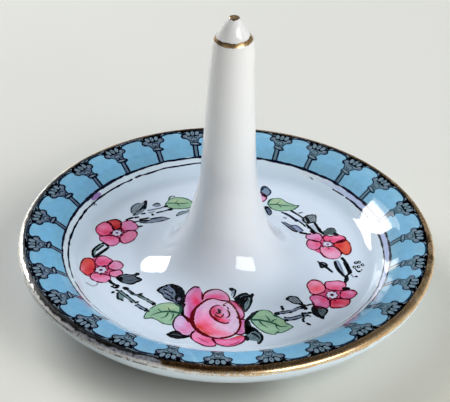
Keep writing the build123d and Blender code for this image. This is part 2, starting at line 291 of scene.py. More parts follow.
class Layer:
    """Shapes that share one mesh: points on the dish, their normals and their paint."""

    def __init__(self, gain=1.0):
        self.co, self.no, self.cl, self.fa, self.n, self.gain = [], [], [], [], 0, gain

    def _put(self, xy, off, col, faces):
        P, N = lift(xy, off)
        self.co.append(P)
        self.no.append(N)
        self.cl.append(np.broadcast_to(col, (len(P), 3)))
        self.fa.extend([[v + self.n for v in f] for f in faces])
        self.n += len(P)

    def fill(self, outline, off, color, step=0.34, curved=True, closed_step=0.16):
        """color: a colour, or a function of plan points."""
        o = smooth(outline, True, closed_step) if curved else np.asarray(outline, float)
        lo, hi = o.min(0), o.max(0)
        gx, gy = np.meshgrid(np.arange(lo[0] + step / 2, hi[0], step), np.arange(lo[1] + step / 2, hi[1], step * 0.87))
        gx[1::2] += step / 2
        g = np.stack([gx.ravel(), gy.ravel()], -1)
        if len(g):
            g = g[inside(g, o)]
        if len(g):
            d = np.sqrt(((g[:, None] - o[None]) ** 2).sum(-1)).min(1)
            g = g[d > 0.45 * step]
        v = np.vstack([o, g]) if len(g) else o
        vs, _, fs, *_ = delaunay_2d_cdt([Vector(p) for p in v.tolist()], [], [list(range(len(o)))], 1, 1e-6)
        xy = np.array([tuple(p) for p in vs])
        faces = []
        for f in fs:
            a, b, c = (xy[i] for i in f[:3])
            faces.append(list(f) if (b[0] - a[0]) * (c[1] - a[1]) - (b[1] - a[1]) * (c[0] - a[0]) > 0 else list(f)[::-1])
        self._put(xy, off, color(xy) if callable(color) else color, faces)
        return o

    def stroke(self, pts, width, off, color, closed=False, ends=(0.25, 0.25), rough=0.10, step=0.13, curved=True):
        """Brush or print line of varying width (mm); ends are the lengths over which it tapers."""
        q = smooth(pts, closed, step) if curved else np.asarray(pts, float)
        n = len(q)
        if n < 2:
            return
        if closed:
            t = np.roll(q, -1, 0) - np.roll(q, 1, 0)
        else:
            t = np.gradient(q, axis=0)
        t /= np.maximum(np.hypot(*t.T)[:, None], 1e-9)
        s = np.r_[0, np.cumsum(np.hypot(*np.diff(q, axis=0).T))]
        w = np.asarray(width, float).ravel() * self.gain
        w = np.interp(np.linspace(0, 1, n), np.linspace(0, 1, len(w)), w) if len(w) > 1 else np.full(n, w[0])
        if rough:
            k = max(4, int(n / 4))
            w = w * (1 + rough * np.interp(np.linspace(0, 1, n), np.linspace(0, 1, k), RNG.normal(size=k)))
        if not closed:
            for d, e in ((s, ends[0]), (s[-1] - s, ends[1])):
                if e > 0:
                    w = w * np.sqrt(np.clip(d / e, 0.02, 1))
        nx = np.stack([-t[:, 1], t[:, 0]], -1) * (np.clip(w, 0.02, None) / 2)[:, None]
        xy = np.concatenate([q + nx, q, q - nx])
        faces = []
        for i in range(n if closed else n - 1):
            j = (i + 1) % n
            faces.append([n + i, n + j, j, i])
            faces.append([2 * n + i, 2 * n + j, n + j, n + i])
        c = np.asarray(color, float)
        if c.ndim == 2:
            ci = np.stack([np.interp(np.linspace(0, 1, n), np.linspace(0, 1, len(c)), c[:, k]) for k in range(3)], -1)
            c = np.concatenate([ci, ci, ci])
        self._put(xy, off, c, faces)

    def band(self, pts, width, off, fill, edge, edge_color):
        """Twig: a band with a dark line down each side."""
        q = smooth(pts, False, 0.3)
        t = np.gradient(q, axis=0)
        t /= np.maximum(np.hypot(*t.T)[:, None], 1e-9)
        nx = np.stack([-t[:, 1], t[:, 0]], -1) * width / 2
        self.stroke(pts, width / self.gain, off, fill, ends=(0.1, 0.1), rough=0.08)
        for sg in (-1, 1):
            self.stroke(q + sg * nx, [edge * 1.2, edge * 0.7, edge, edge * 0.6, edge * 1.25], off + 0.014, edge_color, rough=0.35, ends=(0.1, 0.1))

    def hatch(self, outline, angle, gap, width, off, color, curved=True, cover=1.0):
        """Parallel lines clipped to an outline."""
        o = smooth(outline, True, 0.2) if curved else np.asarray(outline, float)
        a = math.radians(angle)
        R = np.array(((math.cos(a), math.sin(a)), (-math.sin(a), math.cos(a))))
        p = o @ R.T
        v = p[:, 1].min() + gap * 0.5
        while v < p[:, 1].max():
            xs = []
            for (x0, y0), (x1, y1) in zip(p, np.roll(p, -1, 0)):
                if (y0 > v) != (y1 > v):
                    xs.append(x0 + (x1 - x0) * (v - y0) / (y1 - y0))
            xs.sort()
            for u0, u1 in zip(xs[::2], xs[1::2]):
                if u1 - u0 > 0.25 and RNG.random() < cover:
                    k = RNG.uniform(0.02, 0.12) * (u1 - u0)
                    e = np.array(((u0 + k, v), ((u0 + u1) / 2, v + RNG.uniform(-0.05, 0.05)), (u1 - k, v))) @ R
                    self.stroke(e, width / self.gain, off, color, rough=0.3, step=0.25)
            v += gap * RNG.uniform(0.85, 1.15)

    def dot(self, x, y, rx, ry, rot, off, color, n=18, step=0.4):
        t = np.arange(n) * 2 * math.pi / n
        c, s = math.cos(math.radians(rot)), math.sin(math.radians(rot))
        u, v = rx * np.cos(t), ry * np.sin(t)
        self.fill(np.stack([x + u * c - v * s, y + u * s + v * c], -1), off, color, step=step, closed_step=0.12)

    def build(self, name, material, slot, replaces=()):
        return mesh_object(name, np.concatenate(self.co), self.fa, material, normals=np.concatenate(self.no),
                           colors=np.concatenate(self.cl), slot=slot, replaces=replaces)


def shade(base, *blobs):
    """Paint made of a base colour and soft touches (x, y, rx, ry, rotation, colour, strength)."""
    def f(xy):
        c = np.repeat(np.asarray(base, float)[None], len(xy), 0)
        for x, y, rx, ry, rot, col, k in blobs:
            ca, sa = math.cos(math.radians(rot)), math.sin(math.radians(rot))
            dx, dy = xy[:, 0] - x, xy[:, 1] - y
            u, v = (dx * ca + dy * sa) / rx, (-dx * sa + dy * ca) / ry
            m = k * np.exp(-(u * u + v * v) ** 1.2)
            c = c * (1 - m[:, None]) + np.asarray(col) * m[:, None]
        return c
    return f


# ============================================================ materials
def new_material(name):
    mat = bpy.data.materials.new(name)
    mat.use_nodes = True
    nt = mat.node_tree
    bsdf = next(n for n in nt.nodes if n.type == "BSDF_PRINCIPLED")
    return mat, nt, bsdf


def add(nt, kind, **props):
    n = nt.nodes.new(kind)
    for k, v in props.items():
        if k == "inputs":
            for i, x in v.items():
                n.inputs[i].default_value = x
        else:
            setattr(n, k, v)
    return n


def mix_color(nt, a, b, fac, blend="MIX"):
    n = add(nt, "ShaderNodeMix", data_type="RGBA", blend_type=blend)
    for sock, v in ((n.inputs[0], fac), (n.inputs[6], a), (n.inputs[7], b)):
        if hasattr(v, "links"):
            nt.links.new(v, sock)
        elif isinstance(v, (tuple, list, np.ndarray)):
            sock.default_value = (*v, 1) if len(v) == 3 else v
        else:
            sock.default_value = v
    return n.outputs[2]


def ramp(nt, fac, stops):
    n = add(nt, "ShaderNodeValToRGB")
    el = n.color_ramp.elements
    g = lambda c: (*c, 1) if hasattr(c, "__len__") else (c, c, c, 1)
    el[0].position, el[0].color = stops[0][0], g(stops[0][1])
    el[1].position, el[1].color = stops[-1][0], g(stops[-1][1])
    for p, c in stops[1:-1]:
        e = el.new(p)
        e.color = g(c)
    nt.links.new(fac, n.inputs[0])
    return n.outputs[0]


def noise(nt, tc, scale, detail=2.0, rough=0.5, distortion=0.0):
    n = add(nt, "ShaderNodeTexNoise", inputs={"Scale": scale, "Detail": detail, "Roughness": rough, "Distortion": distortion})
    nt.links.new(tc.outputs["Object"], n.inputs["Vector"])
    return n.outputs[0]


def glaze_bump(nt, bsdf, swell=0.020, peel=0.0012):
    """Slight unevenness of a fired glaze: a slow swell and a very fine orange peel (heights in mm)."""
    tc = add(nt, "ShaderNodeTexCoord")
    last = None
    for scale, h in ((75.0, swell), (900.0, peel)):
        b = add(nt, "ShaderNodeBump", inputs={"Strength": 1.0, "Distance": h * MM})
        nt.links.new(noise(nt, tc, scale), b.inputs["Height"])
        if last is not None:
            nt.links.new(last, b.inputs["Normal"])
        last = b.outputs[0]
    nt.links.new(last, bsdf.inputs["Normal"])
    return tc


GLAZE_ROUGH, GLAZE_IOR = 0.045, 1.6


def glazed(name):
    mat, nt, b = new_material(name)
    tc = glaze_bump(nt, b)
    b.inputs["Roughness"].default_value = GLAZE_ROUGH
    b.inputs["IOR"].default_value = GLAZE_IOR
    return mat, nt, b, tc


def gloss_by_radius(nt, b, tc, brim):
    """The floor of the well has lost its gloss to wear; colour fired over the brim keeps less than on the wall."""
    flat = add(nt, "ShaderNodeVectorMath", operation="MULTIPLY", inputs={1: (1, 1, 0)})
    nt.links.new(tc.outputs["Object"], flat.inputs[0])
    rad = add(nt, "ShaderNodeVectorMath", operation="LENGTH")
    nt.links.new(flat.outputs[0], rad.inputs[0])
    stops = [(0, 0.5), (20.0, 0.5), (22.5, 0.03), (31.0, 0.03), (33.5, 0.5), (38.9, 0.5), (39.5, brim), (50, brim)]
    mr = add(nt, "ShaderNodeMapRange", inputs={"From Max": 50.0 * MM})
    nt.links.new(rad.outputs["Value"], mr.inputs["Value"])
    nt.links.new(ramp(nt, mr.outputs[0], [(r / 50.0, v) for r, v in stops]), b.inputs["Specular IOR Level"])


def porcelain():
    mat, nt, b, tc = glazed("glazed_porcelain")
    gloss_by_radius(nt, b, tc, 0.5)
    # the glaze pools bluish in the dish and is thinner and more neutral up the post
    sep = add(nt, "ShaderNodeSeparateXYZ")
    nt.links.new(tc.outputs["Object"], sep.inputs[0])
    mr = add(nt, "ShaderNodeMapRange", inputs={"From Min": 0.0, "From Max": 67.0 * MM})
    nt.links.new(sep.outputs["Z"], mr.inputs["Value"])
    n = noise(nt, tc, 45.0, 3.0, 0.55)
    up = ramp(nt, mr.outputs[0], [(0.08, (0.70, 0.805, 0.935)), (0.115, (0.755, 0.845, 0.945)), (0.20, (0.83, 0.875, 0.93)),
                                  (0.38, (0.86, 0.885, 0.915)), (0.9, (0.89, 0.89, 0.89))])
    col = mix_color(nt, up, ramp(nt, n, [(0.3, 0.965), (0.7, 1.0)]), 1.0, "MULTIPLY")
    # bluer where it pools at the foot of the bank
    flat = add(nt, "ShaderNodeVectorMath", operation="MULTIPLY", inputs={1: (1, 1, 0)})
    nt.links.new(tc.outputs["Object"], flat.inputs[0])
    rad = add(nt, "ShaderNodeVectorMath", operation="LENGTH")
    nt.links.new(flat.outputs[0], rad.inputs[0])
    pool = add(nt, "ShaderNodeMapRange", interpolation_type="SMOOTHSTEP", inputs={"From Min": 31.0 * MM, "From Max": 36.5 * MM})
    nt.links.new(rad.outputs["Value"], pool.inputs["Value"])
    col = mix_color(nt, col, mix_color(nt, col, (0.965, 1.03, 1.04), 1.0, "MULTIPLY"), pool.outputs[0])
    # and on the underside of the wall
    low = add(nt, "ShaderNodeMapRange", interpolation_type="SMOOTHSTEP", inputs={"From Min": 10.5 * MM, "From Max": 7.5 * MM})
    nt.links.new(sep.outputs["Z"], low.inputs["Value"])
    far = add(nt, "ShaderNodeMapRange", interpolation_type="SMOOTHSTEP", inputs={"From Min": 36.8 * MM, "From Max": 40.5 * MM})
    nt.links.new(rad.outputs["Value"], far.inputs["Value"])
    both = add(nt, "ShaderNodeMath", operation="MULTIPLY")
    nt.links.new(low.outputs[0], both.inputs[0])
    nt.links.new(far.outputs[0], both.inputs[1])
    col = mix_color(nt, col, mix_color(nt, col, (1.02, 0.975, 1.01), 1.0, "MULTIPLY"), both.outputs[0])
    # painted shade: greyer just under the lip at the front left
    fl = add(nt, "ShaderNodeVectorMath", operation="DOT_PRODUCT", inputs={1: (-0.88, -0.47, 0)})
    nt.links.new(tc.outputs["Object"], fl.inputs[0])
    fm = add(nt, "ShaderNodeMapRange", interpolation_type="SMOOTHSTEP", inputs={"From Min": 33.0 * MM, "From Max": 45.0 * MM})
    nt.links.new(fl.outputs["Value"], fm.inputs["Value"])
    zm = add(nt, "ShaderNodeMapRange", inputs={"From Min": 11.2 * MM, "From Max": 10.8 * MM})
    nt.links.new(sep.outputs["Z"], zm.inputs["Value"])
    lip_shade_mask = add(nt, "ShaderNodeMath", operation="MULTIPLY")
    nt.links.new(fm.outputs[0], lip_shade_mask.inputs[0])
    nt.links.new(zm.outputs[0], lip_shade_mask.inputs[1])
    col = mix_color(nt, col, mix_color(nt, col, (0.62, 0.62, 0.62), 1.0, "MULTIPLY"), lip_shade_mask.outputs[0])
    # sparse tiny dark specks of kiln ash and a few pinholes
    v = add(nt, "ShaderNodeTexVoronoi", feature="F1", inputs={"Scale": 330.0, "Randomness": 1.0})
    nt.links.new(tc.outputs["Object"], v.inputs["Vector"])
    col = mix_color(nt, col, (0.30, 0.30, 0.33), ramp(nt, v.outputs["Distance"], [(0.0, 0.5), (0.035, 0.0)]))
    nt.links.new(col, b.inputs["Base Color"])
    return mat


def bare_clay():
    mat, nt, b = new_material("bare_porcelain")
    tc = add(nt, "ShaderNodeTexCoord")
    n = noise(nt, tc, 700.0, 4.0, 0.6)
    nt.links.new(ramp(nt, n, [(0.3, (0.50, 0.46, 0.40)), (0.7, (0.68, 0.65, 0.60))]), b.inputs["Base Color"])
    bp = add(nt, "ShaderNodeBump", inputs={"Strength": 1.0, "Distance": 0.02 * MM})
    nt.links.new(n, bp.inputs["Height"])
    nt.links.new(bp.outputs[0], b.inputs["Normal"])
    b.inputs["Roughness"].default_value = 0.75
    return mat


def painted(name, low, high, scale, detail=3.0, streak=None):
    """Paint from the attribute 'paint', mottled between the factors low and high."""
    mat, nt, b, tc = glazed(name)
    gloss_by_radius(nt, b, tc, 0.07)
    at = add(nt, "ShaderNodeAttribute", attribute_name="paint")
    n = noise(nt, tc, scale, detail, 0.6)
    col = mix_color(nt, at.outputs["Color"], ramp(nt, n, [(0.32, low), (0.68, high)]), 1.0, "MULTIPLY")
    if streak:
        col = mix_color(nt, col, ramp(nt, noise(nt, tc, streak[0], 2.0, 0.5), [(0.35, streak[1]), (0.65, 1.0)]), 1.0, "MULTIPLY")
    nt.links.new(col, b.inputs["Base Color"])
    return mat


def ink():
    mat, nt, b, tc = glazed("print_ink")
    gloss_by_radius(nt, b, tc, 0.07)
    at = add(nt, "ShaderNodeAttribute", attribute_name="paint")
    thin = ramp(nt, noise(nt, tc, 2600.0, 3.0, 0.65), [(0.48, 0.0), (0.75, 0.30)])
    col = mix_color(nt, at.outputs["Color"], tuple(ware(84, 104, 124)), thin)
    nt.links.new(col, b.inputs["Base Color"])
    return mat


def gold():
    """Fired gold from the attribute 'paint': red is the wear, green the tarnish together with painted dark reflection,
    blue the dark flecks.
    """
    mat, nt, b = new_material("gold")
    tc = add(nt, "ShaderNodeTexCoord")
    at = add(nt, "ShaderNodeAttribute", attribute_name="paint")
    sp = add(nt, "ShaderNodeSeparateColor")
    nt.links.new(at.outputs["Color"], sp.inputs[0])
    n = noise(nt, tc, 420.0, 3.0, 0.6)
    fine = noise(nt, tc, 2400.0, 3.0, 0.7)
    base = ramp(nt, n, [(0.3, (0.82, 0.53, 0.26)), (0.5, (0.90, 0.64, 0.36)), (0.7, (0.95, 0.74, 0.50))])
    dark = ramp(nt, noise(nt, tc, 700.0, 3.0, 0.6), [(0.35, (0.055, 0.020, 0.004)), (0.55, (0.11, 0.05, 0.015)), (0.75, (0.26, 0.15, 0.06))])
    base = mix_color(nt, base, dark, sp.outputs[1])
    # rubbed pale on the left
    lf = add(nt, "ShaderNodeVectorMath", operation="DOT_PRODUCT", inputs={1: (-0.997, -0.07, 0)})
    nt.links.new(tc.outputs["Object"], lf.inputs[0])
    lm = add(nt, "ShaderNodeMapRange", interpolation_type="SMOOTHSTEP", inputs={"From Min": 33.0 * MM, "From Max": 43.0 * MM})
    nt.links.new(lf.outputs["Value"], lm.inputs["Value"])
    base = mix_color(nt, base, ramp(nt, n, [(0.3, (0.93, 0.88, 0.80)), (0.7, (0.98, 0.96, 0.92))]), lm.outputs[0])
    # wear lets the pale glaze through in specks
    th = add(nt, "ShaderNodeMath", operation="SUBTRACT")
    nt.links.new(sp.outputs[0], th.inputs[0])
    nt.links.new(fine, th.inputs[1])
    mk = add(nt, "ShaderNodeMapRange", inputs={"From Min": -0.04, "From Max": 0.04})
    nt.links.new(th.outputs[0], mk.inputs["Value"])
    grit = noise(nt, tc, 1500.0, 2.0, 0.6)
    bare = mix_color(nt, ramp(nt, grit, [(0.35, tuple(ware(206, 204, 200))), (0.6, tuple(ware(240, 238, 232)))]),
                     ramp(nt, grit, [(0.35, tuple(ware(96, 98, 106))), (0.6, tuple(ware(128, 132, 142)))]), sp.outputs[1])
    col = mix_color(nt, base, bare, mk.outputs[0])
    col = mix_color(nt, col, tuple(ware(22, 16, 16)), sp.outputs[2])
    nt.links.new(col, b.inputs["Base Color"])
    inv = add(nt, "ShaderNodeMath", operation="SUBTRACT", inputs={0: 1.0})
    nt.links.new(mk.outputs[0], inv.inputs[1])
    part = add(nt, "ShaderNodeMath", operation="MULTIPLY", inputs={1: 0.80})
    nt.links.new(inv.outputs[0], part.inputs[0])
    nt.links.new(part.outputs[0], b.inputs["Metallic"])
    nt.links.new(ramp(nt, fine, [(0.3, 0.20), (0.7, 0.36)]), b.inputs["Roughness"])
    lv = add(nt, "ShaderNodeMapRange", inputs={"From Min": 0.5, "From Max": 0.9, "To Min": 0.5, "To Max": 0.08})
    nt.links.new(sp.outputs[2], lv.inputs["Value"])
    nt.links.new(lv.outputs[0], b.inputs["Specular IOR Level"])
    bp = add(nt, "ShaderNodeBump", inputs={"Strength": 1.0, "Distance": 0.006 * MM})
    nt.links.new(noise(nt, tc, 1100.0, 3.0, 0.6), bp.inputs["Height"])
    nt.links.new(bp.outputs[0], b.inputs["Normal"])
    return mat


PORCELAIN, CLAY, INK, GOLD = porcelain(), bare_clay(), ink(), gold()
TURQ = painted("turquoise_enamel", 0.93, 1.05, 600.0, 3.0, (2800.0, 0.95))
PINK = painted("pink_enamel", 0.90, 1.05, 1100.0, 3.0, (3600.0, 0.90))
GREEN = painted("green_enamel", 0.90, 1.05, 1000.0, 3.0, (3600.0, 0.92))

# ============================================================ clay body
def rev(chain):
    return chain[0][::-1], -chain[1][::-1]


saucer = lathe("saucer_glazed", TOP + [BELLY, line(BELLY[0][-1], HOLLOW[0][0], 6), HOLLOW, line(HOLLOW[0][-1], FLARE[0][0], 3)],
               PORCELAIN, n=512, slot="glazed_porcelain", replaces=("saucer",))
FI, FO = 24.2, 27.6
foot = lathe("foot_ring_turned", [
    line((FI, UNDER_Z), (FO, UNDER_Z), 4), line((FO, UNDER_Z), (FO - 0.45, 0.70), 6),
    bez((FO - 0.45, 0.70), (FO - 0.62, 0.0), (FO - 1.15, 0.0), 9), line((FO - 1.15, 0.0), (FI + 1.15, 0.0), 5),
    bez((FI + 1.15, 0.0), (FI + 0.55, 0.0), (FI + 0.38, 0.75), 9), line((FI + 0.38, 0.75), (FI, UNDER_Z), 6)],
    CLAY, n=400, slot="bare_porcelain", replaces=("foot_ring",))
slip = lathe("slip_joint", [
    line((7.75, JOINT_HIGH), (10.89, JOINT_HIGH), 4),
    (line((10.89, JOINT_HIGH), (11.11, JOINT_LOW), 4)[0], np.array([unit((0.5, -0.87))] * 4)),
    line((11.11, JOINT_LOW), (7.9, JOINT_LOW), 4), bez((7.9, JOINT_LOW), (7.45, 12.0), (7.75, JOINT_HIGH), 7)],
    PORCELAIN, n=512, slot="glazed_porcelain", replaces=("luting_slip",))
post = lathe("ring_post_cast", [
    line((0, 66.95), (0.90, 66.95), 4), bez((0.90, 66.95), (1.01, 66.95), (1.10, 66.86), 5), rev(NOSE), rev(SHAFT),
    line((10.89, JOINT_HIGH), (7.75, JOINT_HIGH), 4), BORE, bez((2.05, 56.5), (1.75, 58.55), (0, 58.6), 9)],
    PORCELAIN, n=400, slot="glazed_porcelain", replaces=("ring_post",), shift=lean)


# ============================================================ printed and painted ornament
NAVY, BLACK = ware(12, 30, 48), ware(12, 14, 20)
MAROON = ware(92, 8, 36)
F0, F1, F2, F3 = 0.012, 0.020, 0.028, 0.036       # heights of the films over the glaze

COLUMNS = [-167.5, -153.5, -139.0, -125.2, -110.7, -96.0, -82.2, -68.5, -55.0, -41.2, -28.0, -14.5, -1.5, 12.8, 26.8,
           41.2, 54.3, 68.0, 78.0, 92.0, 106.5, 121.5, 135.0, 149.3, 162.3, 177.4]


def at(col, uv):
    """Column coordinates (mm along the rim, radius) to plan."""
    uv = np.asarray(uv, float).reshape(-1, 2)
    return polar(col + np.degrees(uv[:, 0] / uv[:, 1]), uv[:, 1])


def ring_strip(layer, r0, r1, off, color, n=720, m=14, a0=0.0, a1=360.0):
    closed = abs(a1 - a0) >= 359.9
    a = np.linspace(a0, a1, n, endpoint=not closed)
    r = np.linspace(r0, r1, m)
    A, R = np.meshgrid(a, r)
    P = polar(A.ravel(), R.ravel())
    faces = []
    for j in range(m - 1):
        for i in range(n if closed else n - 1):
            k = (i + 1) % n
            faces.append([j * n + i, (j + 1) * n + i, (j + 1) * n + k, j * n + k][::-1])
    layer._put(P, off, color(P) if callable(color) else color, faces)


# ---- border: grey print, turquoise panels between the columns, dark outlines
ground, panels, border = Layer(), Layer(), Layer()
TEAL = ware(98, 124, 138)


def grey(P):
    """Grey-green print, bluer and darker at the back left."""
    a = np.degrees(np.arctan2(P[:, 0], -P[:, 1]))
    k = np.exp(-((a + 110) / 65) ** 2)[:, None]
    return TEAL * (1 - k) + ware(92, 108, 132) * k


ring_strip(ground, 42.7, 46.06, F0, grey, n=960, m=12)

RIGHT = [(0.66, 37.86), (0.66, 38.9), (0.62, 40.15), (1.02, 40.55), (1.08, 40.95), (0.98, 41.4), (1.28, 42.15), (1.75, 42.72),
         (2.35, 42.82), (2.86, 43.25), (2.94, 43.85), (2.66, 44.35), (2.86, 44.75)]
LEFT = [(-0.66, 37.86), (-0.66, 38.9), (-0.64, 40.05), (-1.42, 40.30), (-1.62, 40.60), (-1.05, 41.05), (-0.98, 41.5), (-1.30, 42.15),
        (-1.75, 42.72), (-2.35, 42.82), (-2.86, 43.25), (-2.94, 43.85), (-2.66, 44.35), (-2.86, 44.75)]

JIT = RNG.normal(size=(26, 4))


def weight(a):
    """How heavily the print took: heavy at the back left, light on the right."""
    a = (a + 180) % 360 - 180
    return 1.0 + 0.28 * math.exp(-((a + 115) / 60) ** 2) - 0.36 * math.exp(-((a - 85) / 52) ** 2)


def tint(a):
    """Ink of the outlines: thinner and greyer on the right."""
    a = (a + 180) % 360 - 180
    k = 0.75 * math.exp(-((a - 80) / 55) ** 2)
    return NAVY * (1 - k) + ware(40, 66, 88) * k


def enamel(a):
    """Turquoise of a panel: greener towards the back right."""
    k = 0.66 + 0.42 * math.cos(math.radians(a - 130))
    b = 1 + 0.13 * math.exp(-(((a + 180) % 360 - 180 + 96) / 18) ** 2)
    r = 1 + 0.12 * math.exp(-((a + 28) / 20) ** 2)
    return np.array((0.188 * (1 + 0.38 * k) * r, 0.465 * (1 + 0.18 * k), 0.705 * (1 + 0.10 * k))) * b


nc = len(COLUMNS)
for i in range(nc):
    a, b = COLUMNS[i], COLUMNS[(i + 1) % nc] + (360 if i == nc - 1 else 0)
    k = min(1.0, (b - a) / 13.6)
    mid = (a + b) / 2
    rs = [(u * k if u > 1.2 else u, r + 0.05 * JIT[i, 0]) for u, r in RIGHT]
    ls = [(u * k if u < -1.2 else u, r + 0.05 * JIT[(i + 1) % nc, 1]) for u, r in LEFT]
    arch = [polar(mid + t * (b - a) / 2 * 0.44 * k, 45.42 - 0.36 * abs(t) ** 2.2) for t in (-0.9, -0.45, 0, 0.45, 0.9)]
    o = np.vstack([at(a, rs), np.array(arch), at(b, ls)[::-1]])
    inner = [polar(a + (b - a) * t, 37.90) for t in np.linspace(0.14, 0.86, 9)]
    outline = np.vstack([o, np.array(inner)[::-1]])
    tone = 1 + 0.035 * JIT[i, 2]
    base = enamel(mid) * tone
    cx, cy = polar(mid, 41.2)
    f = shade(base, (cx, cy, 5.2, 2.6, mid, base * (0.86, 0.94, 1.0), 0.8), (*polar(mid - 2, 44.2), 2.6, 1.0, mid, base * (1.12, 1.05, 1.0), 0.6),
              (*polar(mid + 2.5, 39.0), 3.0, 1.1, mid, base * (0.95, 1.03, 1.0), 0.7))
    panels.fill(outline, F1, f, step=0.42, closed_step=0.22)
    wt = weight(mid)
    heavy = (0.34 + 0.05 * JIT[i, 3]) * wt * (1 - 0.3 * math.exp(-((mid - 85) / 50) ** 2)) + 0.10 * math.exp(-((mid + 42) / 34) ** 4)
    border.stroke(o, [0.20, 0.24, 0.28 * wt, 0.30 * wt, heavy, heavy + 0.06, heavy + 0.10, heavy + 0.06, heavy, 0.30 * wt, 0.28 * wt, 0.24, 0.20], F2, tint(mid),
                  ends=(0.1, 0.1), rough=0.18, step=0.2)

for i in range(nc):
    a, b = COLUMNS[i], COLUMNS[(i + 1) % nc] + (360 if i == nc - 1 else 0)
    mid = (a + b) / 2
    grow = math.exp(-((mid + 82) / 66) ** 4)
    if grow > 0.3:
        rib = [polar(mid + t * (b - a) / 2, 45.72 + 0.34 * grow - 0.62 * abs(t) ** 2.4 + 0.05 * JIT[i, 2]) for t in np.linspace(-0.62, 0.62, 9)]
        border.band(rib, 0.42, F2 + 0.003, ware(96, 112, 126), 0.15, ware(10, 20, 32))
        for sg in (-1, 1):
            border.dot(*polar(mid + sg * 0.60 * (b - a) / 2, 45.62 + 0.2 * grow), 0.42, 0.30, mid, F3, ware(104, 120, 134))
for i, col in enumerate(COLUMNS):
    j = JIT[i] * 0.06
    wt = weight(col)
    ink_c = tint(col)
    s = lambda pts, w, c=ink_c, off=F3, **kw: border.stroke(at(col, np.asarray(pts, float) + (j[0], j[1])), np.multiply(w, wt), off, c, step=0.16, **kw)
    e = lambda u, r, ru, rr, c, off=F2, rot=0: border.fill(
        at(col, [(u + j[0] + ru * math.cos(t) * math.cos(rot) - rr * math.sin(t) * math.sin(rot),
                  r + j[1] + ru * math.cos(t) * math.sin(rot) + rr * math.sin(t) * math.cos(rot)) for t in np.linspace(0, 2 * math.pi, 13)[:-1]]),
        off, c, step=0.5, closed_step=0.18)
    def lobe(u, r, a, b, rot):
        e(u, r, a, b, ware(112, 134, 148), F2, rot=rot)
        s([(u + a * math.cos(t) * math.cos(rot) - b * math.sin(t) * math.sin(rot), r + a * math.cos(t) * math.sin(rot) + b * math.sin(t) * math.cos(rot))
           for t in np.linspace(-1.2, 4.4, 15)], [0.09, 0.14, 0.09])

    # grey body of shaft and capital
    body = at(col, [(0.72, 37.84), (0.70, 40.1), (1.12, 40.6), (1.06, 41.4), (1.42, 42.2), (1.9, 42.9), (2.2, 43.4), (-2.2, 43.4), (-1.9, 42.9), (-1.42, 42.2),
                    (-1.06, 41.4), (-1.62, 40.7), (-0.72, 40.1), (-0.72, 37.84)])
    ground.fill(body, F0 + 0.001, grey, step=0.4, curved=False)
    # shaft: two dark lines
    s([(-0.46, 37.75), (-0.42, 39.0), (-0.46, 40.3)], 0.27, ends=(0, 0.1))
    s([(0.46, 37.75), (0.46, 39.0), (0.46, 40.4)], 0.27, ends=(0, 0.1))
    # knot under the capital, hooked to the left
    s([(-1.60, 40.55), (-0.9, 40.98), (-0.1, 41.2), (0.98, 41.30)], [0.24, 0.34, 0.30, 0.22])
    s([(-1.66, 40.50), (-0.7, 40.30), (0.2, 40.42), (1.04, 40.68)], [0.32, 0.34, 0.28, 0.24])
    e(-0.15, 40.8, 0.62, 0.20, ware(124, 142, 154), F3)
    # little flower in the capital, its middle a dark teardrop
    q0 = 0.5 * JIT[i, 0]
    s([(0.82 * math.cos(q) * (1 + 0.12 * math.cos(5 * q + q0)), 42.3 + 0.72 * math.sin(q) * (1 + 0.12 * math.cos(5 * q + q0))) for q in np.linspace(0.3, 2 * math.pi + 0.1, 22)],
      [0.16, 0.22, 0.14, 0.22, 0.16])
    e(0.02, 42.35, 0.40, 0.34, ware(122, 140, 154), F2)
    s([(0.0, 41.7), (0.06, 42.1), (0.0, 42.5)], [0.10, 0.28, 0.12])
    # side scrolls with an inner curl
    for sg in (-1, 1):
        e(sg * 2.10, 43.62, 0.62, 0.56, ware(112, 130, 146), F2)
        s([(sg * (2.08 + 0.72 * math.cos(q)), 43.62 + 0.68 * math.sin(q)) for q in np.linspace(-1.9, 3.3, 14)], [0.18, 0.22, 0.20, 0.14])
        s([(sg * (2.14 + 0.32 * math.cos(q)), 43.60 + 0.30 * math.sin(q)) for q in np.linspace(-2.6, 1.9, 9)], [0.08, 0.15, 0.12])
        # lobes that rise to the rim, and the tail of the scroll along it
        lobe(sg * 1.20, 44.55, 0.54, 0.84, -0.30 * sg)
        s([(sg * 2.35, 44.55), (sg * 3.1, 45.15), (sg * 4.2, 45.6), (sg * 5.6, 45.85)], [0.08, 0.13, 0.13, 0.18], c=ware(40, 58, 76))
        e(sg * 3.3, 45.45, 0.55, 0.16, ware(118, 134, 150), F2, rot=0.45 * sg)
        if wt > 1.05:
            s([(sg * 0.62, 45.35), (sg * 0.72, 45.9)], 0.14)
    lobe(0.0, 44.55, 0.50, 0.90, 0.0)
    e(0.03, 44.5, 0.13, 0.42, ware(40, 58, 74), F3)
    s([(-0.42, 43.0), (-0.2, 43.5), (0.0, 43.75), (0.2, 43.5), (0.42, 43.0)], 0.15)

# uneven dark line where the print meets the gold
for a0 in np.arange(-180, 180, 1.5):
    left = math.exp(-((a0 + 60) / 90) ** 4)
    right = math.exp(-((a0 - 75) / 38) ** 2)
    w0 = (0.26 + 0.20 * left + 0.14 * math.exp(-((a0 + 38) / 24) ** 4)) * (1 - 0.62 * right)
    out = math.exp(-((a0 + 92) / 62) ** 4)
    w0 += 0.10 * out
    border.stroke([polar(a0 + 1.7 * t, 45.93 + 0.42 * out + 0.04 * math.sin(a0 * 1.3 + t * 3)) for t in (0, 0.5, 1)],
                  [w0 * RNG.uniform(0.6, 1.15) for _ in range(3)], F3, ware(8, 10, 14), step=0.3)
